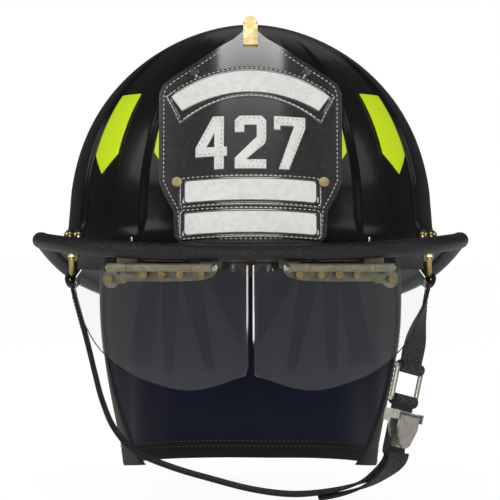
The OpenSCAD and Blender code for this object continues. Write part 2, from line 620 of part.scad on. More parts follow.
function smooth_run(k, n) = [for (i = [1 : len(k) - 3], j = [0 : n - 1])
    catmull(k[i - 1], k[i], k[i + 1], k[i + 2], j / n)];
lens_outline = concat(
    [[15, lens_top], [13, 2.6], [lens_in + 1, 2.6], [lens_in, 1.6], [lens_in, lens_low + 22]],
    smooth_run(lens_knots, 4), [[lens_out, lens_top - 5], [lens_out - 4, lens_top]]);
lens_rivet_at = [[33, -4.6], [48, -4.6], [61, -4.6], [74, -4.6], [99, -7.6]];
rivet_r = 1.5;
lobe_r = 5.8;
module lens_holes(h) for (q = lens_rivet_at)
    translate([q[0], lens_back + h + 1, q[1]]) rotate([90, 0, 0])
        cylinder(h = h + 2, r = rivet_r + fit, $fn = 24);
module lens_part() hinge_frame() difference() {
    translate([0, lens_back + lens_t, 0]) rotate([90, 0, 0]) linear_extrude(height = lens_t)
        polygon(lens_outline);
    lens_holes(lens_t);
}
arm_from = bracket_u[0][1] + seat;
arm_to = bracket_u[1][0] - seat;
plate_outline = [
    [23, -2.2], [27, -6], [36, -8.4], [60, -9.2], [84, -9], [92, -9.5], [92, -2.6],
    [arm_to, -1.2], [arm_to, arm_t / 2], [arm_from, arm_t / 2], [arm_from, -1.2], [25, -0.8]];
module lens_plate_part() hinge_frame() difference() {
    union() {
        translate([0, lens_back + lens_t + plate_t, 0]) rotate([90, 0, 0])
            linear_extrude(height = plate_t) union() {
                polygon(plate_outline);
                translate([99, -7.6]) circle(r = lobe_r, $fn = 48);
                translate([88, -10.4]) square([10, 6]);
            }
        translate([arm_from, 0, -arm_t / 2])
            cube([arm_to - arm_from, lens_back + lens_t + plate_t, arm_t]);
        translate([arm_from, 0, 0]) rotate([0, 90, 0])
            cylinder(h = arm_to - arm_from, r = knuckle_r, $fn = 48);
    }
    translate([arm_from - 1, 0, 0]) rotate([0, 90, 0])
        cylinder(h = arm_to - arm_from + 2, r = pin_r, $fn = 48);
    translate([0, lens_t + 0.5, 0]) lens_holes(plate_t + 1);
}
module lens_rivets_part() hinge_frame()
    for (q = lens_rivet_at)
        translate([q[0], lens_back - 0.8, q[1]]) rotate([-90, 0, 0]) {
            translate([0, 0, 0.8]) cylinder(h = lens_t + plate_t, r = rivet_r, $fn = 24);
            cylinder(h = 0.8, r = 2.5, $fn = 32);
            translate([0, 0, lens_t + plate_t + 0.8]) cylinder(h = 0.8, r = 2.3, $fn = 32);
        }
pin_over = 1.5;
module hinge_pin_part() hinge_frame() translate([bracket_u[0][0] - pin_over, 0, 0]) rotate([0, 90, 0]) {
    cylinder(h = bracket_u[1][1] - bracket_u[0][0] + 2 * pin_over, r = pin_r, $fn = 48);
    translate([0, 0, -1]) cylinder(h = 1 + pin_over - seat, r = 2, $fn = 32);
}
module lens_left() color([0.8, 0.85, 0.86, 0.35]) side_of(true) lens_part();
module lens_right() color([0.8, 0.85, 0.86, 0.35]) side_of(false) lens_part();
module lens_plate_left() color([0.47, 0.44, 0.34]) side_of(true) lens_plate_part();
module lens_plate_right() color([0.47, 0.44, 0.34]) side_of(false) lens_plate_part();
module lens_rivets_left() color([0.75, 0.72, 0.62]) side_of(true) lens_rivets_part();
module lens_rivets_right() color([0.75, 0.72, 0.62]) side_of(false) lens_rivets_part();
module hinge_pin_left() color([0.6, 0.6, 0.62]) side_of(true) hinge_pin_part();
module hinge_pin_right() color([0.6, 0.6, 0.62]) side_of(false) hinge_pin_part();

// Fixed hinge leaves under the brim.
function under_brim(x, y) =
    let(t = atan2(y, x), r = norm([x, y]), s = (r - dome_r(t)) / (edge_r(t) + grip - dome_r(t)))
    brim_at(t, s)[1] - shell_wall;
leaf_t = 1.4;
leaf_back = -19;       // how far back the leaf reaches under the brim
web_v = -6;            // front face of the upright web
function leaf_top(u) = min([for (v = [leaf_back, web_v]) for (w = u)
    let(q = chord_xy(w, v)) under_brim(q[0], q[1])]) - 2 * seat;
module lens_bracket_part() hinge_frame()
    for (u = bracket_u) {
        top = leaf_top(u) - hinge_z;
        w = u[1] - u[0];
        difference() {
            union() {
                translate([u[0], hinge_v - web_v, top - leaf_t]) cube([w, web_v - leaf_back, leaf_t]);
                translate([u[0], hinge_v - web_v, -arm_t / 2]) cube([w, arm_t, top + arm_t / 2]);
                translate([u[0], 0, -arm_t / 2]) cube([w, hinge_v - web_v + arm_t, arm_t]);
                translate([u[0], 0, 0]) rotate([0, 90, 0]) cylinder(h = w, r = knuckle_r, $fn = 48);
            }
            translate([u[0] - 1, 0, 0]) rotate([0, 90, 0]) cylinder(h = w + 2, r = pin_r + fit, $fn = 48);
            translate([u[0] + w / 2, hinge_v - bracket_screw_v, top - leaf_t - 1])
                cylinder(h = leaf_t + 2, r = screw_r + hole_gap, $fn = 24);
        }
    }
module lens_bracket_left() color([0.47, 0.44, 0.34]) side_of(true) lens_bracket_part();
module lens_bracket_right() color([0.47, 0.44, 0.34]) side_of(false) lens_bracket_part();
module bracket_screws() color([0.72, 0.56, 0.25]) both() hinge_frame()
    for (u = bracket_u) {
        top = leaf_top(u) - hinge_z;
        translate([(u[0] + u[1]) / 2, hinge_v - bracket_screw_v, top - leaf_t - 1.8]) {
            cylinder(h = 1.5, r = 2.9, $fn = 32);
            translate([0, 0, 1.5]) cylinder(h = 10, r = screw_r, $fn = 24);
        }
    }

// ---- D-rings and their brackets under the brim ----
ring_x = 118;
ring_y = -65;
ring_z = -10.5;
sleeve_half = 7;
sleeve_r = 3.3;
tab_t = 1.6;
tab_top = min([for (q = ring_nut_at) under_brim(q[0], q[1])]) - 2 * seat;
module ring_bracket_part() difference() {
    union() {
        translate([0, 0, tab_top - tab_t]) linear_extrude(height = tab_t) polygon([
            [ring_x - 12, ring_y - 25], [ring_x - 1, ring_y - 25], [ring_x + 5, ring_y - 10],
            [ring_x + 6, ring_y + 8], [ring_x - 4, ring_y + 8], [ring_x - 12, ring_y - 10]]);
        translate([ring_x - sleeve_r, ring_y - sleeve_half, ring_z])
            cube([2 * sleeve_r, 2 * sleeve_half, tab_top - tab_t / 2 - ring_z]);
        translate([ring_x, ring_y + sleeve_half, ring_z]) rotate([90, 0, 0])
            cylinder(h = 2 * sleeve_half, r = sleeve_r, $fn = 48);
    }
    translate([ring_x, ring_y + sleeve_half + 1, ring_z]) rotate([90, 0, 0])
        cylinder(h = 2 * sleeve_half + 2, r = ring_wire_r + fit, $fn = 48);
    for (q = ring_nut_at)
        translate([q[0], q[1], tab_top - tab_t - 1]) cylinder(h = tab_t + 2, r = bolt_r + hole_gap, $fn = 32);
}
module ring_bracket_left() color([0.45, 0.4, 0.26]) side_of(true) ring_bracket_part();
module ring_bracket_right() color([0.45, 0.4, 0.26]) side_of(false) ring_bracket_part();
nut_r = 3.8;
// Height of the shell's top under the inner side of a nut, where the dome blends into the brim.
function over_brim(q) =
    let(t = atan2(q[1], q[0]), off = norm(q) - nut_r - dome_r(t), s = sqrt(clamp(off / brim_blend)))
    under_brim(q[0], q[1]) + shell_wall + blend_from * (1 - s) * (1 - s);
module brim_bolts() color([0.7, 0.55, 0.28]) both()
    for (q = ring_nut_at)
        translate([q[0], q[1], 0]) {
            translate([0, 0, tab_top - tab_t])
                cylinder(h = over_brim(q) + 2.4 - tab_top + tab_t, r = bolt_r, $fn = 32);
            translate([0, 0, tab_top - tab_t - 1.4]) cylinder(h = 1.4, r = 3, $fn = 32);
        }
module brim_nuts() color([0.7, 0.55, 0.28]) both()
    for (q = ring_nut_at)
        translate([q[0], q[1], over_brim(q) + seat]) difference() {
            union() {
                cylinder(h = 3, r = nut_r, $fn = 48);
                translate([0, 0, 3]) intersection() {
                    sphere(r = nut_r, $fn = 48);
                    cylinder(h = nut_r, r = nut_r + 1, $fn = 48);
                }
            }
            translate([0, 0, -1]) cylinder(h = 3.4, r = bolt_r + fit, $fn = 32);
        }
module d_ring_part() translate([ring_x, ring_y, ring_z]) {
    translate([0, ring_r, 0]) rotate([90, 0, 0]) cylinder(h = 2 * ring_r, r = ring_wire_r, $fn = 32);
    rotate([0, 90, 0]) rotate([0, 0, -90]) rotate_extrude(angle = 180, $fn = 64)
        translate([ring_r, 0]) circle(r = ring_wire_r, $fn = 32);
}
module d_ring_left() color([0.6, 0.52, 0.32]) side_of(true) d_ring_part();
module d_ring_right() color([0.6, 0.52, 0.32]) side_of(false) d_ring_part();

// ---- chinstrap ----
loop_bore = 3.3;
loop_r = 5;
loop_half = 30;
loop_mid = ring_r + loop_bore - ring_wire_r - seat; // the loop hangs on the wire
strap_lean = 0.085;    // forward lean of the hanging strap
slide_at = [103.5, -95];
slide_slope = 0.21;    // how far the strap leans out at the slide
slide_turn = 38;       // how far the strap's face turns to the front there
slide_w = webbing_w + 7;
slide_h = 22;
wire_r = 1.6;
wrap_r = wire_r + seat + webbing_t;
hook_drop = slide_h / 2 + wrap_r + 3;
hook_h = 24;
hook_w = webbing_w + 5;
hook_t = 1.6;
sleeve_h = 8;
lever_w = hook_w - 7;
lever_out = 6.4;       // how far the lever's pin stands out from the webbing
lever_pin_r = 1;
// Routes of the webbing: across, height, then the turn of its face to the front.
function slide_line(d) = [slide_at[0] + d * slide_slope, slide_at[1] + d, slide_turn];
loop_foot = ring_z - loop_mid - loop_r - seat;
wrap_end = slide_h / 2 + wrap_r + seat;
left_route = concat([
    [-119, loop_foot + 8, 0], [-118, loop_foot, 0], [-114, -46, 0], [-108, -68, 0], [-103, -88, 0],
    [-98, -106, 0], [-90, -124, 0], [-76, -139, 0], [-53, -149, 0], [-26, -157, 0], [2, -164, 0],
    [28, -167, 3], [52, -165, 9], [71, -160, 18], [83.5, -153, 28]],
    [for (d = [-49, -40, -30, -22, -wrap_end, -wrap_end + 8]) slide_line(d)]);
right_route = concat([
    [119, loop_foot + 8, 0], [118, loop_foot, 0], [115.5, -44, 10], [112, -56, 26]],
    [for (d = [28, wrap_end, wrap_end - 8]) slide_line(d)]);
tail_span = [10.7, 14.5];  // stretch of the left webbing that the folded-back end lies under
tail_lift = webbing_t + 1.5;
route_steps = 3;
function route_point(q) = [q[0], ring_y + strap_lean * (q[1] - ring_z), q[1]];
function unit(v) = v / norm(v);
function width_of(q, along) =
    let(side = [sin(q[2]) * sign(q[0] + eps), cos(q[2]), 0]) unit(side - (side * along) * along);
slide_up = unit(route_point(slide_line(1)) - route_point(slide_line(0)));
slide_side = width_of(slide_line(0), slide_up);
slide_out = cross(slide_side, slide_up);
loop_w = 17;           // width of the webbing where it is gathered into the loop
function webbing_section(q, along, w, lift) =
    let(a = width_of(q, along) * w / 2, n = unit(cross(along, a)), c = route_point(q) - n * lift,
        h = n * webbing_t / 2)
    [c - a - h, c + a - h, c + a + h, c - a + h];
function run_of(route) = concat(smooth_run(route, route_steps), [route[len(route) - 2]]);
left_run = run_of(left_route);
right_run = run_of(right_route);
module webbing(run, span, lift = 0) {
    last = len(run) - 1;
    sweep([for (i = [span[0] : span[1]])
        webbing_section(run[i], unit(route_point(run[min(i + 1, last)]) - route_point(run[max(i - 1, 0)])),
            mix(loop_w, webbing_w, smooth(i / (2 * route_steps))), lift)]);
}
module slide_place() {
    c = route_point(slide_line(0));
    multmatrix([for (k = [0 : 2]) [slide_out[k], slide_side[k], slide_up[k], c[k]]]) children();
}
module across_bar(h, r) rotate([90, 0, 0]) translate([0, 0, -h / 2]) cylinder(h = h, r = r, $fn = 32);
module strap_loop_part() translate([ring_x, ring_y, ring_z])
    rotate([0, 90, 0]) rotate([0, 0, -loop_half]) rotate_extrude(angle = 2 * loop_half, $fn = 64)
        translate([loop_mid, 0]) difference() {
            circle(r = loop_r, $fn = 32);
            circle(r = loop_bore, $fn = 32);
        }
module strap_loops() color([0.1, 0.1, 0.1]) {
    both() strap_loop_part();
    slide_place() for (z = [-slide_h / 2, slide_h / 2]) translate([0, 0, z]) difference() {
        across_bar(webbing_w, wrap_r);
        across_bar(webbing_w + 2, wire_r + seat);
    }
}
module strap_left() color([0.12, 0.12, 0.12]) webbing(left_run, [0, len(left_run) - 1]);
module strap_right() color([0.12, 0.12, 0.12]) webbing(right_run, [0, len(right_run) - 1]);
module strap_tail() color([0.12, 0.12, 0.12]) webbing(left_run, [for (k = tail_span) round(k * route_steps)], tail_lift);
// In the slide's frame x comes out of its face, y runs across the webbing and z up it.
module slide_frame() color([0.62, 0.6, 0.55]) slide_place() {
    for (z = [-slide_h / 2, slide_h / 2]) translate([0, 0, z]) across_bar(slide_w, wire_r);
    for (y = [-1, 1])
        translate([0, y * (slide_w / 2 - wire_r), -slide_h / 2]) cylinder(h = slide_h, r = wire_r, $fn = 32);
}
module hook_body() color([0.5, 0.49, 0.45]) slide_place() translate([0, 0, -hook_drop]) {
    face = webbing_t / 2 + seat;
    difference() {
        union() {
            translate([face, 0, 0]) rotate([90, 0, 90]) linear_extrude(height = hook_t)
                polygon(flip([[hook_w / 2, 0], [hook_w / 2, -sleeve_h - 2],
                    [hook_w / 2 - 8, -hook_h], [2, -hook_h]]));
            translate([-face - hook_t, -hook_w / 2, -sleeve_h]) cube([hook_t, hook_w, sleeve_h]);
            for (y = [-hook_w / 2, hook_w / 2 - hook_t])
                translate([-face - eps, y, -sleeve_h]) cube([2 * face + 2 * eps, hook_t, sleeve_h]);
            for (y = [-hook_w / 2, hook_w / 2 - hook_t])
                translate([face, y, -6]) cube([lever_out - face + 2.2, hook_t, 6]);
        }
        translate([lever_out, 0, -3]) across_bar(2 * hook_w, lever_pin_r + fit);
    }
}
module lever_place() slide_place() translate([lever_out, 0, -hook_drop - 3]) children();
module release_lever() color([0.66, 0.64, 0.58]) lever_place() difference() {
    union() {
        across_bar(lever_w, 2);
        translate([0.4, 0, 0]) rotate([90, 0, 90]) linear_extrude(height = 1.4)
            polygon(flip([[lever_w / 2, 0], [lever_w / 2, -8], [6, -19], [2, -21]]));
    }
    across_bar(hook_w, lever_pin_r + fit);
}
module lever_pin() color([0.7, 0.7, 0.7]) lever_place() across_bar(hook_w + 1.2, lever_pin_r);

// ---- neck curtain ----
curtain_top = 20;
curtain_cols = 34;
curtain_rows = 7;
curtain_front_top = -37;
curtain_front_low = -38;
function curtain_low(t) = plan(t, 88, 78, 113, 2.7);
curtain_fall = 170;    // height over which its plan closes in
curtain_hold = 0.6;    // clearance to the liner's faceted wall
function curtain_r(t, z) =
    let(s = (curtain_top - z) / curtain_fall)
    mix(liner_wall(t, curtain_top) - curtain_hold, curtain_low(t), 0.5 * smooth(s) + 0.5 * clamp(s));
function curtain_t_at(s, z) =
    let(f = mix(curtain_front_top, curtain_front_low, clamp((curtain_top - z) / curtain_fall)))
    mix(f, 180 - f, s);
function hem_at(s) = curtain_hem + 10 * pow(abs(2 * s - 1), 2);
function curtain_section(s) =
    let(zs = [for (i = [0 : curtain_rows]) mix(curtain_top, hem_at(s), i / curtain_rows)])
    concat(
        [for (z = zs) let(t = curtain_t_at(s, z)) spin([curtain_r(t, z), z], t)],
        [for (z = reverse(zs)) let(t = curtain_t_at(s, z)) spin([curtain_r(t, z) - curtain_t, z], t)]);
module neck_curtain() color([0.13, 0.14, 0.2])
    sweep([for (i = [0 : curtain_cols]) curtain_section(i / curtain_cols)]);

outer_shell();
edge_bead();
reflective_trim();
leather_front();
crescent_panel();
upper_panel();
lower_panel();
front_number();
front_rivets();
front_screws();
front_posts();
front_holder();
holder_screws();
impact_liner();
crown_straps();
crown_pad();
suspension_keys();
headband();
brow_pad();
nape_pad();
ratchet_housing();
ratchet_pinion();
ratchet_knob();
rack_left();
rack_right();
lens_bracket_left();
lens_bracket_right();
bracket_screws();
lens_left();
lens_right();
lens_plate_left();
lens_plate_right();
lens_rivets_left();
lens_rivets_right();
hinge_pin_left();
hinge_pin_right();
ring_bracket_left();
ring_bracket_right();
brim_bolts();
brim_nuts();
d_ring_left();
d_ring_right();
strap_loops();
strap_left();
strap_right();
strap_tail();
slide_frame();
hook_body();
release_lever();
lever_pin();
neck_curtain();
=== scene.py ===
"""Traditional firefighter helmet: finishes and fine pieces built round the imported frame."""

import sys

import json
import logging
import math
from dataclasses import dataclass, field
from enum import Enum
from typing import Callable, Sequence

import bmesh
import bpy
from mathutils import Matrix, Vector


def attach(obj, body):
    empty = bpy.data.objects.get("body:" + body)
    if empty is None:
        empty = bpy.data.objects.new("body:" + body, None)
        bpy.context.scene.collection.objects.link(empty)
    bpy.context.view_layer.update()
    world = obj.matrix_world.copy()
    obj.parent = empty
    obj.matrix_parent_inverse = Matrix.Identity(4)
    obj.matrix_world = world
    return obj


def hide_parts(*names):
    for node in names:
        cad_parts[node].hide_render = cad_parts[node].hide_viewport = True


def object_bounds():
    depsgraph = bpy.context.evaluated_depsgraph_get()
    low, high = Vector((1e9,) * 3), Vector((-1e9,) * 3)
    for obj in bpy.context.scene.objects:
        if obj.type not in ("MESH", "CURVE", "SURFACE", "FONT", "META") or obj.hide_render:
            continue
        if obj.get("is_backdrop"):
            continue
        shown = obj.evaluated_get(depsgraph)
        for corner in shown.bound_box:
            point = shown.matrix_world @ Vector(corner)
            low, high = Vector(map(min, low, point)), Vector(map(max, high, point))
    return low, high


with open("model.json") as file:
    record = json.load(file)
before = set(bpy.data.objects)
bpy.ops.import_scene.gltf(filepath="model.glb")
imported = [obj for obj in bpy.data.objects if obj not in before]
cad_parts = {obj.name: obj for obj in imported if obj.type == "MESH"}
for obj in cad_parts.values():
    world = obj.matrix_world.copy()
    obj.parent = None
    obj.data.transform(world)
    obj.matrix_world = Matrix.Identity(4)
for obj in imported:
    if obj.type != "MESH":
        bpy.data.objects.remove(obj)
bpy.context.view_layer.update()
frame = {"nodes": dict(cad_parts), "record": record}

LOG = logging.getLogger("helmet")
MM = 0.001
Point = tuple[float, ...]
Loop = list[tuple[float, float]]
Colour = tuple[float, float, float]


# ---- sums shared by the shapes ----
def clamp(x: float) -> float:
    """Hold a number between 0 and 1."""
    return max(0.0, min(1.0, x))


def smooth(x: float) -> float:
    """Ease a number from 0 to 1 with flat ends."""
    c = clamp(x)
    return c * c * (3 - 2 * c)


def mix(a: float, b: float, s: float) -> float:
    """Blend two numbers."""
    return a * (1 - s) + b * s


def oval(turn: float, half: float, fore: float, rear: float, square: float) -> float:
    """Radius of a squarish oval.

    Args:
        turn: direction in degrees, 0 at the wearer's left, -90 in front.
        half: half width.
        fore: reach in front.
        rear: reach behind.
        square: squareness, 2 for an ellipse.

    Returns:
        The radius in that direction.
    """
    c, s = math.cos(math.radians(turn)), math.sin(math.radians(turn))
    long = fore if s < 0 else rear
    return (abs(c / half) ** square + abs(s / long) ** square) ** (-1 / square)


def spun(radius: float, height: float, turn: float) -> Vector:
    """A point in millimetres at a radius and height, turned about the upright axis."""
    a = math.radians(turn)
    return Vector((radius * math.cos(a), radius * math.sin(a), height))


def catmull(a: Point, b: Point, c: Point, d: Point, s: float) -> Point:
    """A point on the curve through b and c, a share s of the way."""
    return tuple(
        0.5
        * (
            2 * q
            + (r - p) * s
            + (2 * p - 5 * q + 4 * r - t) * s * s
            + (3 * q - p - 3 * r + t) * s**3
        )
        for p, q, r, t in zip(a, b, c, d)
    )


# ---- the bench: modelling by operators ----
def deselect() -> None:
    """Leave object mode with nothing selected."""
    if bpy.context.object and bpy.context.object.mode != "OBJECT":
        bpy.ops.object.mode_set(mode="OBJECT")
    bpy.ops.object.select_all(action="DESELECT")


def pick(obj: bpy.types.Object) -> bpy.types.Object:
    """Make one object the only selected and active one."""
    deselect()
    obj.select_set(True)
    bpy.context.view_layer.objects.active = obj
    return obj


def edit_all(obj: bpy.types.Object, *steps: Callable[[], object]) -> None:
    """Run edit-mode operators on the whole of a mesh."""
    pick(obj)
    bpy.ops.object.mode_set(mode="EDIT")
    bpy.ops.mesh.select_all(action="SELECT")
    for step in steps:
        step()
    bpy.ops.object.mode_set(mode="OBJECT")


def merge(obj: bpy.types.Object, reach: float = 2e-6) -> None:
    """Merge the doubled points of a mesh."""
    edit_all(obj, lambda: bpy.ops.mesh.remove_doubles(threshold=reach))


def face_out(obj: bpy.types.Object) -> None:
    """Turn every face of a closed mesh outwards."""
    edit_all(obj, lambda: bpy.ops.mesh.normals_make_consistent(inside=False))


def apply(obj: bpy.types.Object, kind: str, **values: object) -> None:
    """Add a modifier, set it and apply it.

    Args:
        obj: the mesh object.
        kind: the modifier's type.
        values: its settings by name.
    """
    pick(obj)
    mod = obj.modifiers.new(kind.title(), kind)
    for name, value in values.items():
        setattr(mod, name, value)
    bpy.ops.object.modifier_apply(modifier=mod.name)


def shade(obj: bpy.types.Object, angle: float = 35) -> None:
    """Shade a mesh smooth, with edges over an angle in degrees kept sharp."""
    pick(obj)
    bpy.ops.object.shade_smooth_by_angle(angle=math.radians(angle))


def settle(obj: bpy.types.Object) -> None:
    """Put an object's place, turn and size into its mesh."""
    pick(obj)
    bpy.ops.object.transform_apply(location=True, rotation=True, scale=True)


def lofted(
    name: str,
    place: Callable[[float, float], Vector],
    cols: Sequence[float],
    rows: Sequence[float],
    size: tuple[float, float] = (1, 1),
) -> bpy.types.Object:
    """A sheet of faces: a grid primitive with its points moved to a surface.

    Args:
        name: the piece's name.
        place: gives the point, in millimetres, for a column value and a row value.
        cols: the column values.
        rows: the row values.
        size: real width and length in metres, for the map that patterns follow.

    Returns:
        The new object, in metres, with its doubles merged.
    """
    deselect()
    nu, nv = len(cols) - 1, len(rows) - 1
    bpy.ops.mesh.primitive_grid_add(x_subdivisions=nu, y_subdivisions=nv, size=2)
    obj = bpy.context.object
    obj.name = obj.data.name = name
    for v in obj.data.vertices:
        i, j = round((v.co.x + 1) * nu / 2), round((v.co.y + 1) * nv / 2)
        v.co = place(cols[i], rows[j]) * MM
    for loop in obj.data.uv_layers[0].data:
        loop.uv = (loop.uv[0] * size[0], loop.uv[1] * size[1])
    merge(obj)
    return obj


def join(name: str, parts: Sequence[bpy.types.Object]) -> bpy.types.Object:
    """Join several meshes into one piece."""
    deselect()
    for part in parts:
        part.select_set(True)
    bpy.context.view_layer.objects.active = parts[0]
    bpy.ops.object.join()
    parts[0].name = parts[0].data.name = name
    return parts[0]


def copy_node(node: str, name: str) -> bpy.types.Object:
    """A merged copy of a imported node's mesh, as a new piece."""
    source = frame["nodes"][node]
    obj = bpy.data.objects.new(name, source.data.copy())
    obj.data.name = name
    bpy.context.scene.collection.objects.link(obj)
    obj.data.materials.clear()
    merge(obj, 2e-5)
    return obj


# ---- finishes ----
class Pattern(Enum):
    """The relief that a finish has."""

    SATIN = "satin"
    GRAIN = "grain"
    PEBBLE = "pebble"
    WEAVE = "weave"
    CELLS = "cells"
    BRUSHED = "brushed"


class Space(Enum):
    """What a finish's pattern follows."""

    OBJECT = "Object"
    UV = "UV"


class Bench:
    """A node tree being wired."""

    def __init__(self, tree: bpy.types.NodeTree) -> None:
        """Take a tree and clear it."""
        self.tree = tree
        tree.nodes.clear()

    def add(self, kind: str, **values: object) -> bpy.types.Node:
        """Add a node and set its properties."""
        node = self.tree.nodes.new(kind)
        for name, value in values.items():
            setattr(node, name, value)
        return node

    def feed(self, target: bpy.types.NodeSocket, source: object) -> None:
        """Link a socket into another, or set a plain value."""
        if isinstance(source, bpy.types.NodeSocket):
            self.tree.links.new(source, target)
        else:
            target.default_value = source

    def sum(self, op: str, *terms: object) -> bpy.types.NodeSocket:
        """A Math node's result for these terms."""
        node = self.add("ShaderNodeMath", operation=op)
        for socket, term in zip(node.inputs, terms):
            self.feed(socket, term)
        return node.outputs[0]

    def ramp(self, value: object, low: float, high: float, to: tuple[float, float] = (0, 1)):
        """A value mapped from one range to another, held at the ends."""
        node = self.add("ShaderNodeMapRange", clamp=True)
        for socket, term in zip(node.inputs, (value, low, high, *to)):
            self.feed(socket, term)
        return node.outputs[0]

    def tint(self, share: object, a: object, b: object) -> bpy.types.NodeSocket:
        """A colour between two."""
        node = self.add("ShaderNodeMix", data_type="RGBA")
        for k, term in ((0, share), (6, a), (7, b)):
            if isinstance(term, tuple):
                term = (*term, 1.0)[:4]
            self.feed(node.inputs[k], term)
        return node.outputs[2]

    def noise(self, vector: object, scale: object, detail: float = 3) -> bpy.types.NodeSocket:
        """A noise value."""
        node = self.add("ShaderNodeTexNoise")
        self.feed(node.inputs["Vector"], vector)
        self.feed(node.inputs["Scale"], scale)
        node.inputs["Detail"].default_value = detail
        return node.outputs[0]


@dataclass
class Effects:
    """Shader node groups that several finishes share."""

    made: dict[str, bpy.types.NodeTree] = field(default_factory=dict)

    def group(self, name: str, outs: Sequence[str]) -> tuple[Bench, bpy.types.Node, bpy.types.Node]:
        """Start a group with a vector and a scale as its inputs."""
        tree = bpy.data.node_groups.new(name, "ShaderNodeTree")
        tree.interface.new_socket("Vector", in_out="INPUT", socket_type="NodeSocketVector")
        tree.interface.new_socket("Scale", in_out="INPUT", socket_type="NodeSocketFloat")
        for out in outs:
            tree.interface.new_socket(out, in_out="OUTPUT", socket_type="NodeSocketFloat")
        bench = Bench(tree)
        self.made[name] = tree
        return bench, bench.add("NodeGroupInput"), bench.add("NodeGroupOutput")

    def build(self) -> None:
        """Make every group once."""
        self.build_voronoi("pebble", "SMOOTH_F1", 0.75)
        self.build_voronoi("cells", "DISTANCE_TO_EDGE", 0.0)
        self.build_grain()
        self.build_weave()
        self.build_brushed()
        self.build_satin()
        self.build_wear()
        self.build_dust()

    def build_voronoi(self, name: str, feature: str, smoothness: float) -> None:
        """Pebbles or small cells, from rounded cell distances."""
        b, start, end = self.group(name, ("Height", "Mask"))
        cells = b.add("ShaderNodeTexVoronoi", feature=feature)
        b.feed(cells.inputs["Vector"], start.outputs["Vector"])
        b.feed(cells.inputs["Scale"], start.outputs["Scale"])
        if smoothness:
            cells.inputs["Smoothness"].default_value = smoothness
            height = b.ramp(cells.outputs["Distance"], 0.1, 0.75, (1, 0))
        else:
            height = b.ramp(cells.outputs["Distance"], 0.0, 0.09)
        b.feed(end.inputs["Height"], height)
        b.feed(end.inputs["Mask"], b.sum("SUBTRACT", 1.0, height))

    def build_grain(self) -> None:
        """Leather grain: creases between small irregular plates."""
        b, start, end = self.group("grain", ("Height", "Mask"))
        vector, scale = start.outputs["Vector"], start.outputs["Scale"]
        warp = b.add("ShaderNodeTexNoise")
        b.feed(warp.inputs["Vector"], vector)
        b.feed(warp.inputs["Scale"], b.sum("MULTIPLY", scale, 0.5))
        bent = b.add("ShaderNodeVectorMath", operation="MULTIPLY_ADD")
        b.feed(bent.inputs[0], warp.outputs["Color"])
        b.feed(bent.inputs[1], (0.0012, 0.0012, 0.0012))
        b.feed(bent.inputs[2], vector)
        plates = b.add("ShaderNodeTexVoronoi", feature="DISTANCE_TO_EDGE")
        b.feed(plates.inputs["Vector"], bent.outputs[0])
        b.feed(plates.inputs["Scale"], scale)
        plate = b.ramp(plates.outputs["Distance"], 0.0, 0.18)
        fine = b.noise(vector, b.sum("MULTIPLY", scale, 3.0))
        height = b.sum("MULTIPLY_ADD", fine, 0.35, plate)
        b.feed(end.inputs["Height"], height)
        b.feed(end.inputs["Mask"], b.noise(vector, b.sum("MULTIPLY", scale, 0.05)))

    def build_weave(self) -> None:
        """Plain weave: warp and weft crowns that alternate."""
        b, start, end = self.group("weave", ("Height", "Mask"))
        parts = b.add("ShaderNodeSeparateXYZ")
        b.feed(parts.inputs[0], start.outputs["Vector"])
        turn = b.sum("MULTIPLY", start.outputs["Scale"], math.pi)
        waves = [b.sum("SINE", b.sum("MULTIPLY", parts.outputs[k], turn)) for k in (0, 1)]
        warp, weft = (b.sum("ABSOLUTE", w) for w in waves)
        over = b.sum("GREATER_THAN", b.sum("MULTIPLY", *waves), 0.0)
        under = b.sum("SUBTRACT", 1.0, over)
        height = b.sum("ADD", b.sum("MULTIPLY", warp, over), b.sum("MULTIPLY", weft, under))
        b.feed(end.inputs["Height"], height)
        b.feed(end.inputs["Mask"], b.noise(start.outputs["Vector"], 260.0))

    def build_brushed(self) -> None:
        """Fine scratches from finishing, mostly along one way."""
        b, start, end = self.group("brushed", ("Height", "Mask"))
        stretch = b.add("ShaderNodeMapping")
        b.feed(stretch.inputs["Vector"], start.outputs["Vector"])
        stretch.inputs["Scale"].default_value = (1.0, 1.0, 0.08)
        lines = b.noise(stretch.outputs[0], start.outputs["Scale"], 4)
        b.feed(end.inputs["Height"], lines)
        b.feed(end.inputs["Mask"], b.noise(start.outputs["Vector"], 90.0))

    def build_satin(self) -> None:
        """The faint orange peel of a moulded or painted face."""
        b, start, end = self.group("satin", ("Height", "Mask"))
        b.feed(end.inputs["Height"], b.noise(*start.outputs[:2], 2))
        b.feed(end.inputs["Mask"], b.noise(start.outputs["Vector"], 22.0, 4))

    def build_wear(self) -> None:
        """Edges rubbed bare, broken up by noise. Scale is how much is rubbed."""
        b, start, end = self.group("wear", ("Mask",))
        shape = b.add("ShaderNodeNewGeometry")
        edge = b.ramp(shape.outputs["Pointiness"], 0.51, 0.6)
        rough = b.ramp(b.noise(start.outputs["Vector"], 240.0, 5), 0.42, 0.62)
        rubbed = b.sum("MULTIPLY", edge, rough)
        b.feed(end.inputs["Mask"], b.sum("MULTIPLY", rubbed, start.outputs["Scale"]))

    def build_dust(self) -> None:
        """Thin patchy dust. Scale is how much there is."""
        b, start, end = self.group("dust", ("Mask",))
        patch = b.ramp(b.noise(start.outputs["Vector"], 30.0, 6), 0.48, 0.8)
        specks = b.ramp(b.noise(start.outputs["Vector"], 1400.0, 2), 0.62, 0.78)
        both = b.sum("MULTIPLY_ADD", specks, 0.5, patch)
        b.feed(end.inputs["Mask"], b.sum("MULTIPLY", both, start.outputs["Scale"]))


EFFECTS = Effects()


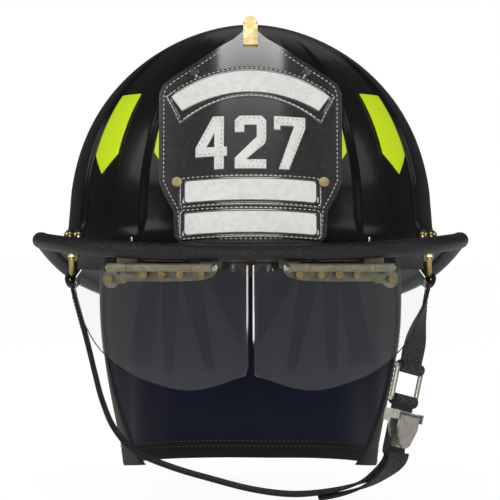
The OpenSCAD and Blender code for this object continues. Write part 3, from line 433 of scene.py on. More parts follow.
@dataclass(frozen=True)
class Finish:
    """One surface finish: colours, gloss and relief."""

    name: str
    colour: Colour
    second: Colour
    rough: float
    pattern: Pattern = Pattern.SATIN
    scale: float = 700
    relief: float = 0.15
    depth: float = 0.0002
    metal: float = 0.0
    specular: float = 0.5
    coat: float = 0.0
    coat_rough: float = 0.1
    coat_index: float = 1.5
    sheen: float = 0.0
    # glow: emission of the base colour, a painted glow on a part that is no lamp
    glow: float = 0.0
    wear: float = 0.0
    bare: Colour = (0.5, 0.5, 0.5)
    dust: float = 0.0
    space: Space = Space.OBJECT
    rough_span: float = 0.12

    def effect(self, b: Bench, name: str, vector: object, scale: float) -> bpy.types.Node:
        """Place one of the shared groups with this finish's own values."""
        node = b.add("ShaderNodeGroup", node_tree=EFFECTS.made[name])
        b.feed(node.inputs["Vector"], vector)
        b.feed(node.inputs["Scale"], scale)
        return node

    def build(self) -> bpy.types.Material:
        """Make the material.

        Returns:
            The new material.
        """
        material = bpy.data.materials.new(self.name)
        material.use_nodes = True
        b = Bench(material.node_tree)
        where = b.add("ShaderNodeTexCoord").outputs[self.space.value]
        skin = self.effect(b, self.pattern.value, where, self.scale)
        wear = self.effect(b, "wear", where, self.wear)
        dust = self.effect(b, "dust", where, self.dust)
        shader = b.add("ShaderNodeBsdfPrincipled")
        out = b.add("ShaderNodeOutputMaterial")
        b.feed(out.inputs["Surface"], shader.outputs[0])
        spread = b.ramp(skin.outputs["Mask"], 0.25, 0.75)
        base = b.tint(spread, self.colour, self.second)
        base = b.tint(wear.outputs["Mask"], base, self.bare)
        base = b.tint(dust.outputs["Mask"], base, (0.32, 0.3, 0.27))
        b.feed(shader.inputs["Base Color"], base)
        low, high = self.rough - self.rough_span, self.rough + self.rough_span
        rough = b.ramp(skin.outputs["Mask"], 0.2, 0.8, (max(low, 0.03), min(high, 1)))
        b.feed(shader.inputs["Roughness"], b.sum("MULTIPLY_ADD", dust.outputs["Mask"], 0.4, rough))
        bump = b.add("ShaderNodeBump")
        bump.inputs["Strength"].default_value = self.relief
        bump.inputs["Distance"].default_value = self.depth
        b.feed(bump.inputs["Height"], skin.outputs["Height"])
        b.feed(shader.inputs["Normal"], bump.outputs[0])
        shader.inputs["Metallic"].default_value = self.metal
        shader.inputs["Specular IOR Level"].default_value = self.specular
        shader.inputs["Coat Weight"].default_value = self.coat
        shader.inputs["Coat Roughness"].default_value = self.coat_rough
        shader.inputs["Coat IOR"].default_value = self.coat_index
        shader.inputs["Sheen Weight"].default_value = self.sheen
        # Painted glow: the surface emits its own colour, though it is no lamp
        if self.glow:
            b.feed(shader.inputs["Emission Color"], base)
            shader.inputs["Emission Strength"].default_value = self.glow
        return material


@dataclass(frozen=True)
class LensFinish:
    """Clear moulded lens, faintly hazed by handling."""

    name: str = "lens_clear"
    colour: Colour = (0.93, 0.95, 0.95)
    rough: float = 0.03
    index: float = 1.38

    def build(self) -> bpy.types.Material:
        """Make the glass material."""
        material = bpy.data.materials.new(self.name)
        material.use_nodes = True
        b = Bench(material.node_tree)
        where = b.add("ShaderNodeTexCoord").outputs["Object"]
        shader = b.add("ShaderNodeBsdfPrincipled")
        b.feed(b.add("ShaderNodeOutputMaterial").inputs["Surface"], shader.outputs[0])
        haze = b.noise(where, 35.0, 4)
        b.feed(shader.inputs["Roughness"], b.ramp(haze, 0.4, 0.8, (self.rough, self.rough + 0.02)))
        shader.inputs["Base Color"].default_value = (*self.colour, 1)
        shader.inputs["Transmission Weight"].default_value = 1.0
        shader.inputs["IOR"].default_value = self.index
        return material


FINISHES = (
    Finish("shell_black", (0.006, 0.006, 0.0062), (0.009, 0.009, 0.0094), 0.26, scale=900,
           relief=0.05, specular=0.14, coat=0.06, coat_rough=0.1, wear=0.2, bare=(0.03, 0.03, 0.03),
           dust=0.004, rough_span=0.06),
    Finish("bead_rubber", (0.008, 0.008, 0.0085), (0.013, 0.013, 0.014), 0.38, Pattern.PEBBLE, 850,
           0.75, 0.0005, specular=0.4, dust=0.012, rough_span=0.06),
    # The lime trim carries a painted glow: its emission stands in for the bright return of
    # reflective sheeting
    Finish("trim_lime", (0.62, 0.83, 0.008), (0.68, 0.88, 0.014), 0.4, Pattern.CELLS, 900, 0.2,
           0.00012, specular=0.25, glow=0.06),
    Finish("leather_black", (0.004, 0.004, 0.004), (0.007, 0.0068, 0.0065), 0.36, Pattern.GRAIN,
           900, 0.3, 0.00018, specular=0.5, coat=1.0, coat_rough=0.13, coat_index=2.2, wear=0.3,
           bare=(0.04, 0.033, 0.025), rough_span=0.05),
    Finish("leather_white", (0.8, 0.79, 0.76), (0.86, 0.855, 0.83), 0.5, Pattern.GRAIN, 1100, 0.25,
           0.00012, specular=0.35, wear=0.2, bare=(0.5, 0.46, 0.4), dust=0.03),
    Finish("rivet_silver", (0.72, 0.73, 0.75), (0.8, 0.8, 0.82), 0.2, Pattern.BRUSHED, 900, 0.1,
           metal=1.0),
    Finish("brass_bright", (0.42, 0.33, 0.13), (0.52, 0.42, 0.19), 0.28, Pattern.BRUSHED, 1100,
           0.12, metal=1.0, wear=0.3, bare=(0.95, 0.8, 0.5), dust=0.02),
    Finish("post_black", (0.02, 0.02, 0.02), (0.03, 0.03, 0.03), 0.45, wear=0.3),
    Finish("foam_grey", (0.03, 0.03, 0.032), (0.045, 0.045, 0.048), 0.85, Pattern.PEBBLE, 700, 0.6,
           0.0005, specular=0.25, dust=0.05),
    Finish("webbing_black", (0.009, 0.009, 0.01), (0.018, 0.018, 0.019), 0.62, Pattern.WEAVE, 700,
           0.9, 0.0006, specular=0.35, sheen=0.12, dust=0.03, space=Space.UV),
    Finish("strap_black", (0.012, 0.012, 0.013), (0.022, 0.022, 0.023), 0.65, Pattern.WEAVE, 900,
           0.6, 0.0004, specular=0.3, sheen=0.1, dust=0.03),
    Finish("pad_brown", (0.075, 0.045, 0.027), (0.12, 0.075, 0.045), 0.6, Pattern.GRAIN, 800, 0.5,
           0.0003, specular=0.35, dust=0.04),
    Finish("plastic_black", (0.012, 0.012, 0.013), (0.02, 0.02, 0.021), 0.42, scale=1400,
           relief=0.25, wear=0.35, bare=(0.08, 0.08, 0.08), dust=0.03),
    Finish("gear_grey", (0.09, 0.09, 0.095), (0.13, 0.13, 0.135), 0.4, relief=0.2, wear=0.4),
    Finish("plate_olive", (0.2, 0.185, 0.115), (0.25, 0.23, 0.15), 0.4, Pattern.BRUSHED, 900, 0.15,
           metal=0.35, wear=0.3, bare=(0.5, 0.46, 0.34), rough_span=0.06),
    Finish("pin_steel", (0.5, 0.5, 0.52), (0.62, 0.62, 0.64), 0.25, Pattern.BRUSHED, 1200, 0.15,
           metal=1.0),
    Finish("ring_brass", (0.5, 0.36, 0.15), (0.62, 0.46, 0.2), 0.28, Pattern.BRUSHED, 900, 0.2,
           metal=1.0, wear=0.4, bare=(0.85, 0.7, 0.45), dust=0.03),
    Finish("slide_metal", (0.4, 0.38, 0.33), (0.52, 0.5, 0.45), 0.3, Pattern.BRUSHED, 900, 0.2,
           metal=0.9, wear=0.4, bare=(0.75, 0.72, 0.66), dust=0.03),
    Finish("curtain_shell", (0.01, 0.01, 0.0095), (0.016, 0.016, 0.015), 0.85, Pattern.WEAVE, 1000,
           0.6, 0.0004, specular=0.2, sheen=0.25, dust=0.03, space=Space.UV),
    Finish("curtain_navy", (0.016, 0.019, 0.042), (0.026, 0.03, 0.064), 0.88, Pattern.WEAVE, 1100,
           0.5, 0.0003, specular=0.2, sheen=0.3, dust=0.02, space=Space.UV),
    Finish("binding_olive", (0.02, 0.02, 0.014), (0.032, 0.031, 0.022), 0.7, Pattern.WEAVE, 1200,
           0.7, 0.0003, specular=0.3, sheen=0.15, space=Space.UV),
    Finish("thread_white", (0.62, 0.61, 0.56), (0.75, 0.74, 0.7), 0.6, relief=0.2, wear=0.0),
    Finish("thread_black", (0.02, 0.02, 0.02), (0.035, 0.034, 0.03), 0.6, relief=0.2),
    Finish("thread_olive", (0.16, 0.15, 0.09), (0.22, 0.2, 0.13), 0.6, relief=0.2),
)
PAINTS: dict[str, bpy.types.Material] = {}


def dress(obj: bpy.types.Object, finish: str) -> bpy.types.Object:
    """Give an object one finish."""
    if obj.material_slots:
        for slot in obj.material_slots:
            slot.material = PAINTS[finish]
    else:
        obj.data.materials.append(PAINTS[finish])
    return obj


def hand_in(
    obj: bpy.types.Object, finish: str, body: str, stands_for: Sequence[str] = ()
) -> bpy.types.Object:
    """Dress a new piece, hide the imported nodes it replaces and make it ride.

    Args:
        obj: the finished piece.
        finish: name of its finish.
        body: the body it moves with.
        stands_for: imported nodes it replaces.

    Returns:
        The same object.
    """
    settle(obj)
    dress(obj, finish)
    if stands_for:
        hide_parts(*stands_for)
    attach(obj, body)
    LOG.info("%s: %d faces, rides on %s", obj.name, len(obj.data.polygons), body)
    return obj


@dataclass
class Stitcher:
    """Sews rows of thread: one modelled stitch, copied along a line."""

    pitch: float = 3.1
    length: float = 2.1
    radius: float = 0.33

    def template(self) -> bpy.types.Mesh:
        """Model one stitch lying along x, in millimetres."""
        deselect()
        bpy.ops.mesh.primitive_uv_sphere_add(segments=8, ring_count=5, radius=1)
        obj = bpy.context.object
        edit_all(
            obj,
            lambda: bpy.ops.transform.resize(value=(self.length / 2, self.radius, self.radius)),
        )
        mesh = obj.data
        bpy.data.objects.remove(obj)
        return mesh

    def sew(self, name: str, lines: Sequence[Sequence[tuple[Vector, Vector]]]) -> bpy.types.Object:
        """Lay stitches along lines.

        Args:
            name: the piece's name.
            lines: each a list of points with the direction out of the surface, in millimetres.

        Returns:
            One object that holds every stitch.
        """
        mesh = self.template()
        bm = bmesh.new()
        for line in lines:
            run = [(line[k + 1][0] - line[k][0]).length for k in range(len(line) - 1)]
            total = sum(run)
            count = max(2, round(total / self.pitch))
            for n in range(count):
                at = (n + 0.5) * total / count
                k = 0
                while k < len(run) - 1 and at > run[k]:
                    at -= run[k]
                    k += 1
                if run[k] < 1e-6:
                    continue
                s = at / run[k]
                spot = line[k][0].lerp(line[k + 1][0], s)
                up = line[k][1].lerp(line[k + 1][1], s).normalized()
                along = (line[k + 1][0] - line[k][0]).normalized()
                side = up.cross(along).normalized()
                turn = Matrix((along, side, up)).transposed().to_4x4()
                start = len(bm.verts)
                bm.from_mesh(mesh)
                bm.verts.ensure_lookup_table()
                move = Matrix.Translation(spot * MM) @ turn @ Matrix.Scale(MM, 4)
                bmesh.ops.transform(bm, matrix=move, verts=bm.verts[start:])
        out = bpy.data.meshes.new(name)
        bm.to_mesh(out)
        bm.free()
        bpy.data.meshes.remove(mesh)
        obj = bpy.data.objects.new(name, out)
        bpy.context.scene.collection.objects.link(obj)
        shade(obj, 60)
        return obj


# ---- shell ----
@dataclass
class Shell:
    """Ribbed dome and brim, its rubber bead and the reflective patches."""

    half: float = 125.5
    fore: float = 138
    rear: float = 150
    high: float = 150
    wall: float = 3
    panel: float = 3
    blend: float = 10
    bead_r: float = 5.5
    grip: float = 1
    edge_fore: tuple[float, float, float] = (144.5, 166.5, 216.5)
    edge_drop: tuple[float, float, float] = (1, -8, -50)
    rise: float = 2.45
    side: float = 1.8
    panels: tuple[tuple[float, float], ...] = ((26.5, 46), (55.3, 72.5))
    patch_z: tuple[float, float, float] = (44, 57, 97)
    dome_rows: int = 44
    brim_rows: int = 7

    def dome_r(self, turn: float) -> float:
        """Radius of the dome at the brim."""
        return oval(turn, self.half, self.fore, self.rear, 2.1)

    def edge_r(self, turn: float) -> float:
        """Radius of the brim's edge under the bead."""
        return oval(turn, *self.edge_fore, 2.1)

    def edge_z(self, turn: float) -> float:
        """Height of the brim's edge."""
        s = math.sin(math.radians(turn))
        at_side, front, tail = self.edge_drop
        return mix(at_side, front, s * s) if s < 0 else mix(at_side, tail, s**1.4)

    def dome_k(self, height: float) -> float:
        """How far the dome has closed in at a height."""
        return max(0.0, 1 - (height / self.high) ** self.rise) ** (1 / self.side)

    def turn_of(self, p: float) -> float:
        """The real direction of a rib's angle."""
        c, s = math.cos(math.radians(p)), math.sin(math.radians(p))
        return math.degrees(math.atan2((self.fore if s < 0 else self.rear) * s, self.half * c))

    def relief(self, p: float, height: float) -> float:
        """Depth of the recessed panels between the ribs."""
        f = p % 180
        f = 180 - f if f > 90 else f
        deep = max(
            smooth(min((f - lo) / 2.2 + 0.05, (hi - f) / 2.2 + 0.05)) for lo, hi in self.panels
        )
        top = 1 - smooth((height - 112) / 30)
        return self.panel * deep * top * smooth((height - 3) / 9)

    def dome_at(self, p: float, height: float) -> Vector:
        """Radius and height of a point of the dome."""
        r = self.dome_r(self.turn_of(p)) * self.dome_k(height) - self.relief(p, height)
        return Vector((r, height))

    def brim_at(self, turn: float, s: float) -> Vector:
        """Radius and height of a point of the brim."""
        r = mix(self.dome_r(turn), self.edge_r(turn) + self.grip, s)
        return Vector((r, (self.edge_z(turn) + 1.5) * s))

    def line_at(self, p: float, row: float) -> Vector:
        """A point of the outside, from the crown at 0 to the edge at 3."""
        turn = self.turn_of(p)
        reach = self.edge_r(turn) + self.grip - self.dome_r(turn)
        foot = self.blend / reach
        if row < 1:
            a = math.radians(mix(90, 7.5, row))
            height = self.high * math.sin(a) ** (2 / self.rise)
            height = max(height, 14.0)
            return self.dome_at(p, height) if row > 0 else Vector((0, self.high))
        if row < 2:
            s = row - 1
            a, b, c = self.dome_at(p, 14), Vector((self.dome_r(turn), 0)), self.brim_at(turn, foot)
            return a.lerp(b, s).lerp(b.lerp(c, s), s)
        return self.brim_at(turn, mix(foot, 1, row - 2))

    def stations(self) -> list[float]:
        """Rib angles for the columns, closest at the ribs' flanks."""
        quarter: list[float] = []
        spans = ((0, 26, 7), (26, 29, 6), (29, 43.5, 5), (43.5, 46.5, 6), (46.5, 55, 4),
                 (55, 58, 6), (58, 70, 5), (70, 73, 6), (73, 90, 6))
        for a, b, n in spans:
            quarter += [mix(a, b, i / n) for i in range(n)]
        half = quarter + [90.0]
        half = half + [180 - q for q in reversed(quarter)]
        return half + [180 + q for q in half[1:]]

    def build_shell(self) -> bpy.types.Object:
        """The moulded shell, outside lofted and given its wall."""
        cols = self.stations()
        rows = [i / self.dome_rows for i in range(self.dome_rows)]
        rows += [1 + i / self.brim_rows for i in range(self.brim_rows)]
        rows += [2 + i / self.brim_rows for i in range(self.brim_rows + 1)]
        obj = lofted(
            "shell_dome",
            lambda p, row: spun(*self.line_at(p, row), self.turn_of(p)),
            cols,
            rows,
        )
        face_out(obj)
        top = max(obj.data.polygons, key=lambda f: f.center.z)
        if top.normal.z < 0:
            edit_all(obj, bpy.ops.mesh.flip_normals)
        apply(obj, "SOLIDIFY", thickness=self.wall * MM, offset=-1.0, use_even_offset=False)
        shade(obj, 50)
        return hand_in(obj, "shell_black", "helmet", ["outer_shell"])

    def bead_ring(self, turn: float) -> list[Vector]:
        """The bead's section, as radius and height, with its slot for the brim."""
        v = self.brim_at(turn, 1) - self.brim_at(turn, 0.8)
        d = v.normalized()
        u = Vector((-d.y, d.x))
        mid = self.brim_at(turn, 1) - u * self.wall / 2 - d * self.grip
        slot = self.wall / 2 + 0.15
        lip = math.degrees(math.asin(slot / self.bead_r))
        ring = []
        for i in range(25):
            a = math.radians(mix(-180 + lip, 180 - lip, i / 24))
            ring.append(mid + d * self.bead_r * math.cos(a) + u * self.bead_r * math.sin(a))
        inner = mid + d * (self.grip + 0.3)
        return ring + [inner + u * slot, inner - u * slot, ring[0]]

    def build_bead(self) -> bpy.types.Object:
        """The rubber bead round the brim's edge."""
        turns = [self.turn_of(i * 1.5) for i in range(241)]
        rings = {t: self.bead_ring(t) for t in turns}
        obj = lofted(
            "edge_bead_rubber",
            lambda t, k: spun(*rings[t][int(k)], t),
            turns,
            [float(k) for k in range(28)],
            (0.98, 0.035),
        )
        face_out(obj)
        shade(obj, 50)
        return hand_in(obj, "bead_rubber", "helmet", ["edge_bead"])

    def patch_point(self, p: float, height: float, lift: float) -> Vector:
        """A point just above the dome's outside."""
        v = self.dome_at(p, height - 1) - self.dome_at(p, height + 1)
        q = self.dome_at(p, height) + lift * Vector((-v.y, v.x)).normalized()
        return spun(q.x, q.y, self.turn_of(p))

    def build_trim(self) -> bpy.types.Object:
        """Eight reflective patches, one in each recessed panel."""
        parts = []
        for lo, hi in self.panels:
            for base, way in ((0, 1), (180, -1), (180, 1), (360, -1)):
                def at(s: float, k: float) -> Vector:
                    """A point of one patch."""
                    p = base + way * mix(lo + 3, hi - 3, s)
                    tip, shoulder, top = self.patch_z
                    foot = mix(tip, shoulder, abs(2 * s - 1))
                    return self.patch_point(p, mix(foot, top, k), 0.95)

                steps = [i / 10 for i in range(11)]
                part = lofted(f"patch_{len(parts)}", at, steps, steps, (0.025, 0.05))
                face = max(part.data.polygons, key=lambda f: f.area)
                if face.normal.dot(Vector((face.center.x, face.center.y, 0))) < 0:
                    edit_all(part, bpy.ops.mesh.flip_normals)
                apply(part, "SOLIDIFY", thickness=0.7 * MM, offset=-1.0)
                apply(part, "BEVEL", width=0.25 * MM, segments=2, limit_method="ANGLE")
                shade(part, 40)
                parts.append(part)
        obj = join("trim_patches", parts)
        return hand_in(obj, "trim_lime", "helmet", ["reflective_trim"])

    def build(self) -> None:
        """Build the shell's pieces."""
        self.build_shell()
        self.build_bead()
        self.build_trim()


# ---- leather front ----
@dataclass
class LeatherFront:
    """Stitching and raised frames of the leather front."""

    bend: float = 150
    lean: float = 20
    foot_y: float = 157
    foot_z: float = -2
    outline: tuple[tuple[float, float], ...] = (
        (8, 0.3), (20, 0.8), (32, 1.7), (44, 3), (48, 8), (49, 25), (54.5, 36), (58.5, 46),
        (59, 96.5), (59, 108), (56.5, 113.5), (51, 117.5), (34, 127), (21, 135.5), (10.5, 141.5),
        (5.5, 146), (4, 148),
    )
    label_half: float = 41.5
    label_h: float = 14
    label_z: tuple[float, float] = (29.3, 7.5)
    crescent: tuple[float, float, float, float] = (118, 50.7, 14.5, 14.5)

    def at(self, x: float, z: float, out: float = 0.0) -> tuple[Vector, Vector]:
        """A point of the curved leather and the direction out of its face.

        Args:
            x: place across.
            z: place up the face.
            out: distance in front of the face.

        Returns:
            The point and the outward direction, in millimetres in the frame.
        """
        side = x / self.bend
        local = Vector((x, self.bend - math.sqrt(self.bend**2 - x * x), z))
        way = Vector((side, -math.sqrt(1 - side * side), 0))
        turn = Matrix.Rotation(math.radians(-self.lean), 3, "X")
        place = turn @ (local + way * out)
        return place + Vector((0, -self.foot_y, self.foot_z)), turn @ way

    def inset(self, loop: Sequence[tuple[float, float]], by: float) -> list[tuple[float, float]]:
        """Draw a closed anticlockwise loop in by a distance."""
        out = []
        n = len(loop)
        for i in range(n):
            a, b, c = (Vector(loop[(i + k) % n]) for k in (-1, 0, 1))
            d, e = (b - a).normalized(), (c - b).normalized()
            m = Vector((-(d + e).y, (d + e).x)).normalized()
            out.append(tuple(b + m * by / max(0.5, m.dot(Vector((-d.y, d.x))))))
        return out

    def dense(self, loop: Sequence[tuple[float, float]], closed: bool = True) -> Loop:
        """Add points to a loop so that it follows the curve of the leather."""
        out = []
        last = len(loop) if closed else len(loop) - 1
        for i in range(last):
            a, b = Vector(loop[i]), Vector(loop[(i + 1) % len(loop)])
            n = max(1, round((b - a).length / 4))
            out += [tuple(a.lerp(b, k / n)) for k in range(n)]
        out.append(tuple(loop[0] if closed else loop[-1]))
        return out

    def whole(self) -> list[tuple[float, float]]:
        """The full outline, anticlockwise seen from the front."""
        right = list(self.outline)
        return right + [(-x, z) for x, z in reversed(right)]

    def box_loop(self, half: float, low: float, high: float, round_by: float) -> Loop:
        """A box with clipped corners, anticlockwise."""
        r = round_by
        return [(half - r, low), (half, low + r), (half, high - r), (half - r, high),
                (-half + r, high), (-half, high - r), (-half, low + r), (-half + r, low)]

    def arc(self, top: float, half: float, drop: float, n: int = 24) -> list[tuple[float, float]]:
        """An arched line from right to left."""
        r = (half * half + drop * drop) / (2 * drop)
        return [(half * (1 - 2 * i / n), top - r + math.sqrt(r * r - (half * (1 - 2 * i / n)) ** 2))
                for i in range(n + 1)]

    def crescent_loop(self, grow: float) -> list[tuple[float, float]]:
        """The crescent's outline, grown by a distance."""
        top, half, drop, band = self.crescent
        outer = self.arc(top, half, drop)
        inner = self.arc(top - band, half - 6.8, drop)
        inner = [(x, z) for x, z in reversed(inner)]
        return self.inset(outer + inner, -grow)

    def thread_rows(self) -> list[list[tuple[Vector, Vector]]]:
        """Every row of white stitches."""
        loops = [self.inset(self.whole(), 3.2)]
        for z in self.label_z:
            loops.append(self.box_loop(self.label_half + 2.6, z - 2.6, z + self.label_h + 2.6, 2))
        loops.append(self.crescent_loop(2.4))
        rows = [[self.at(x, z, 1.02 if i else 0.12) for x, z in self.dense(loop)]
                for i, loop in enumerate(loops)]
        return rows

    def border(self, name: str, inner: Loop, outer: Loop) -> bpy.types.Object:
        """A flat leather border between two loops of equal length."""
        rows = [0.0, 0.12, 0.5, 0.88, 1.0]
        rise = {0.0: 0.25, 0.12: 1.0, 0.5: 1.15, 0.88: 0.95, 1.0: 0.02}
        n = len(inner)

        def place(i: float, k: float) -> Vector:
            """A point of the border."""
            a, b = Vector(inner[int(i) % n]), Vector(outer[int(i) % n])
            q = a.lerp(b, k)
            return self.at(q.x, q.y, rise[k])[0]

        obj = lofted(name, place, [float(i) for i in range(n + 1)], rows)
        apply(obj, "SOLIDIFY", thickness=0.3 * MM, offset=1.0)
        face_out(obj)
        shade(obj, 60)
        return obj

    def build_borders(self) -> bpy.types.Object:
        """Raised leather borders round the white panels."""
        parts = []
        for k, z in enumerate(self.label_z):
            box = self.box_loop(self.label_half + 0.1, z - 0.1, z + self.label_h + 0.1, 1.5)
            inner = self.dense(box)
            scale = []
            for x, y in inner:
                mid = z + self.label_h / 2
                cy = y - mid
                gx = 3.7 if abs(x) > self.label_half - 2 else 0.0
                gy = 3.7 if abs(cy) > self.label_h / 2 - 2 else 0.0
                scale.append((x + math.copysign(gx, x), y + math.copysign(gy, cy)))
            parts.append(self.border(f"border_{k}", inner, scale))
        inner = self.dense(self.crescent_loop(0.1))
        outer = self.inset(inner[:-1], -3.4)
        parts.append(self.border("border_crescent", inner, outer + [outer[0]]))
        obj = join("front_borders", parts)
        return hand_in(obj, "leather_black", "helmet")

    def build(self) -> None:
        """Build the borders and the rows of stitches."""
        self.build_borders()
        rows = self.thread_rows()
        thread = Stitcher().sew("front_stitches", rows)
        hand_in(thread, "thread_white", "helmet")
        marks = Stitcher(pitch=3.0, length=1.0, radius=0.26).sew(
            "number_stitches", self.number_rows())
        hand_in(marks, "thread_black", "helmet")

    def number_rows(self) -> list[list[tuple[Vector, Vector]]]:
        """Dark stitches inside the edge of each numeral."""
        w, h, t, gap, foot = 20.0, 36.0, 6.0, 5.0, 50.5
        m = 1.4
        four = [[(w - t - 2 + m, m), (w - 2 - m, m), (w - 2 - m, h - m), (w - t - 2.2, h - m),
                 (m, 9 + t - 0.6), (m, 9 + m), (w - t - 2 + m, 9 + m), (w - t - 2 + m, m)]]
        two = [[(m, m), (w - m, m), (w - m, t - m), (t + 3, t - m), (w - m, h / 2 + 2),
                (w - m, h - 5), (w - 5, h - m), (5, h - m), (m, h - 5), (m, h - t - 3)]]
        seven = [[(m, h - m), (w - m, h - m), (w - m, h - t), (t + 4, m), (4, m),
                  (w - t - 3, h - t + m), (m, h - t + m), (m, h - m)]]
        rows = []
        for i, loops in enumerate((four, two, seven)):
            left = -1.5 * w - gap + i * (w + gap)
            for loop in loops:
                rows.append([self.at(left + x, foot + z, 1.5) for x, z in self.dense(loop, False)])
        return rows


# ---- suspension ----
@dataclass
class Suspension:
    """Impact liner and the padded pieces inside the helmet."""

    voxel: float = 2.2

    def build_liner(self) -> bpy.types.Object:
        """The foam liner, its facets rounded."""
        obj = copy_node("impact_liner", "liner_foam")
        apply(obj, "SUBSURF", levels=1, render_levels=1)
        shade(obj, 60)
        return hand_in(obj, "foam_grey", "helmet", ["impact_liner"])

    def build_pad(self, node: str, name: str, sew: Callable[[Vector], float]) -> bpy.types.Object:
        """A stuffed pad from a packed one.

        Args:
            node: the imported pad.
            name: the piece's name.
            sew: gives how deep a sewn line is at a place, from 0 to 1.

        Returns:
            The pad.
        """
        obj = copy_node(node, name)
        pick(obj)
        obj.data.remesh_voxel_size = self.voxel * MM
        bpy.ops.object.voxel_remesh()
        apply(obj, "SMOOTH", factor=0.5, iterations=3)
        apply(obj, "SUBSURF", levels=1, render_levels=1)
        normals = [v.normal.copy() for v in obj.data.vertices]
        for v, n in zip(obj.data.vertices, normals):
            v.co = v.co - n * (sew(v.co / MM) * 0.9 * MM)
        shade(obj, 60)
        return hand_in(obj, "pad_brown", "helmet", [node])

    def build(self) -> None:
        """Build the liner and three pads."""
        self.build_liner()

        def band_seam(q: Vector) -> float:
            """Upright channels every 18 degrees and a line along the pad."""
            a = math.degrees(math.atan2(q.y, q.x)) % 18
            up = math.exp(-(((a - 9) / 0.9) ** 2))
            return max(up, math.exp(-(((q.z - 4) / 1.2) ** 2)))

        self.build_pad("brow_pad", "brow_cushion", band_seam)
        self.build_pad("nape_pad", "nape_cushion",
                       lambda q: math.exp(-((q.x % 17 - 8.5) / 1.2) ** 2))
        self.build_pad(
            "crown_pad",
            "crown_cushion",
            lambda q: max(math.exp(-((math.hypot(q.x, q.y) - r) / 1.2) ** 2) for r in (12, 24)),
        )


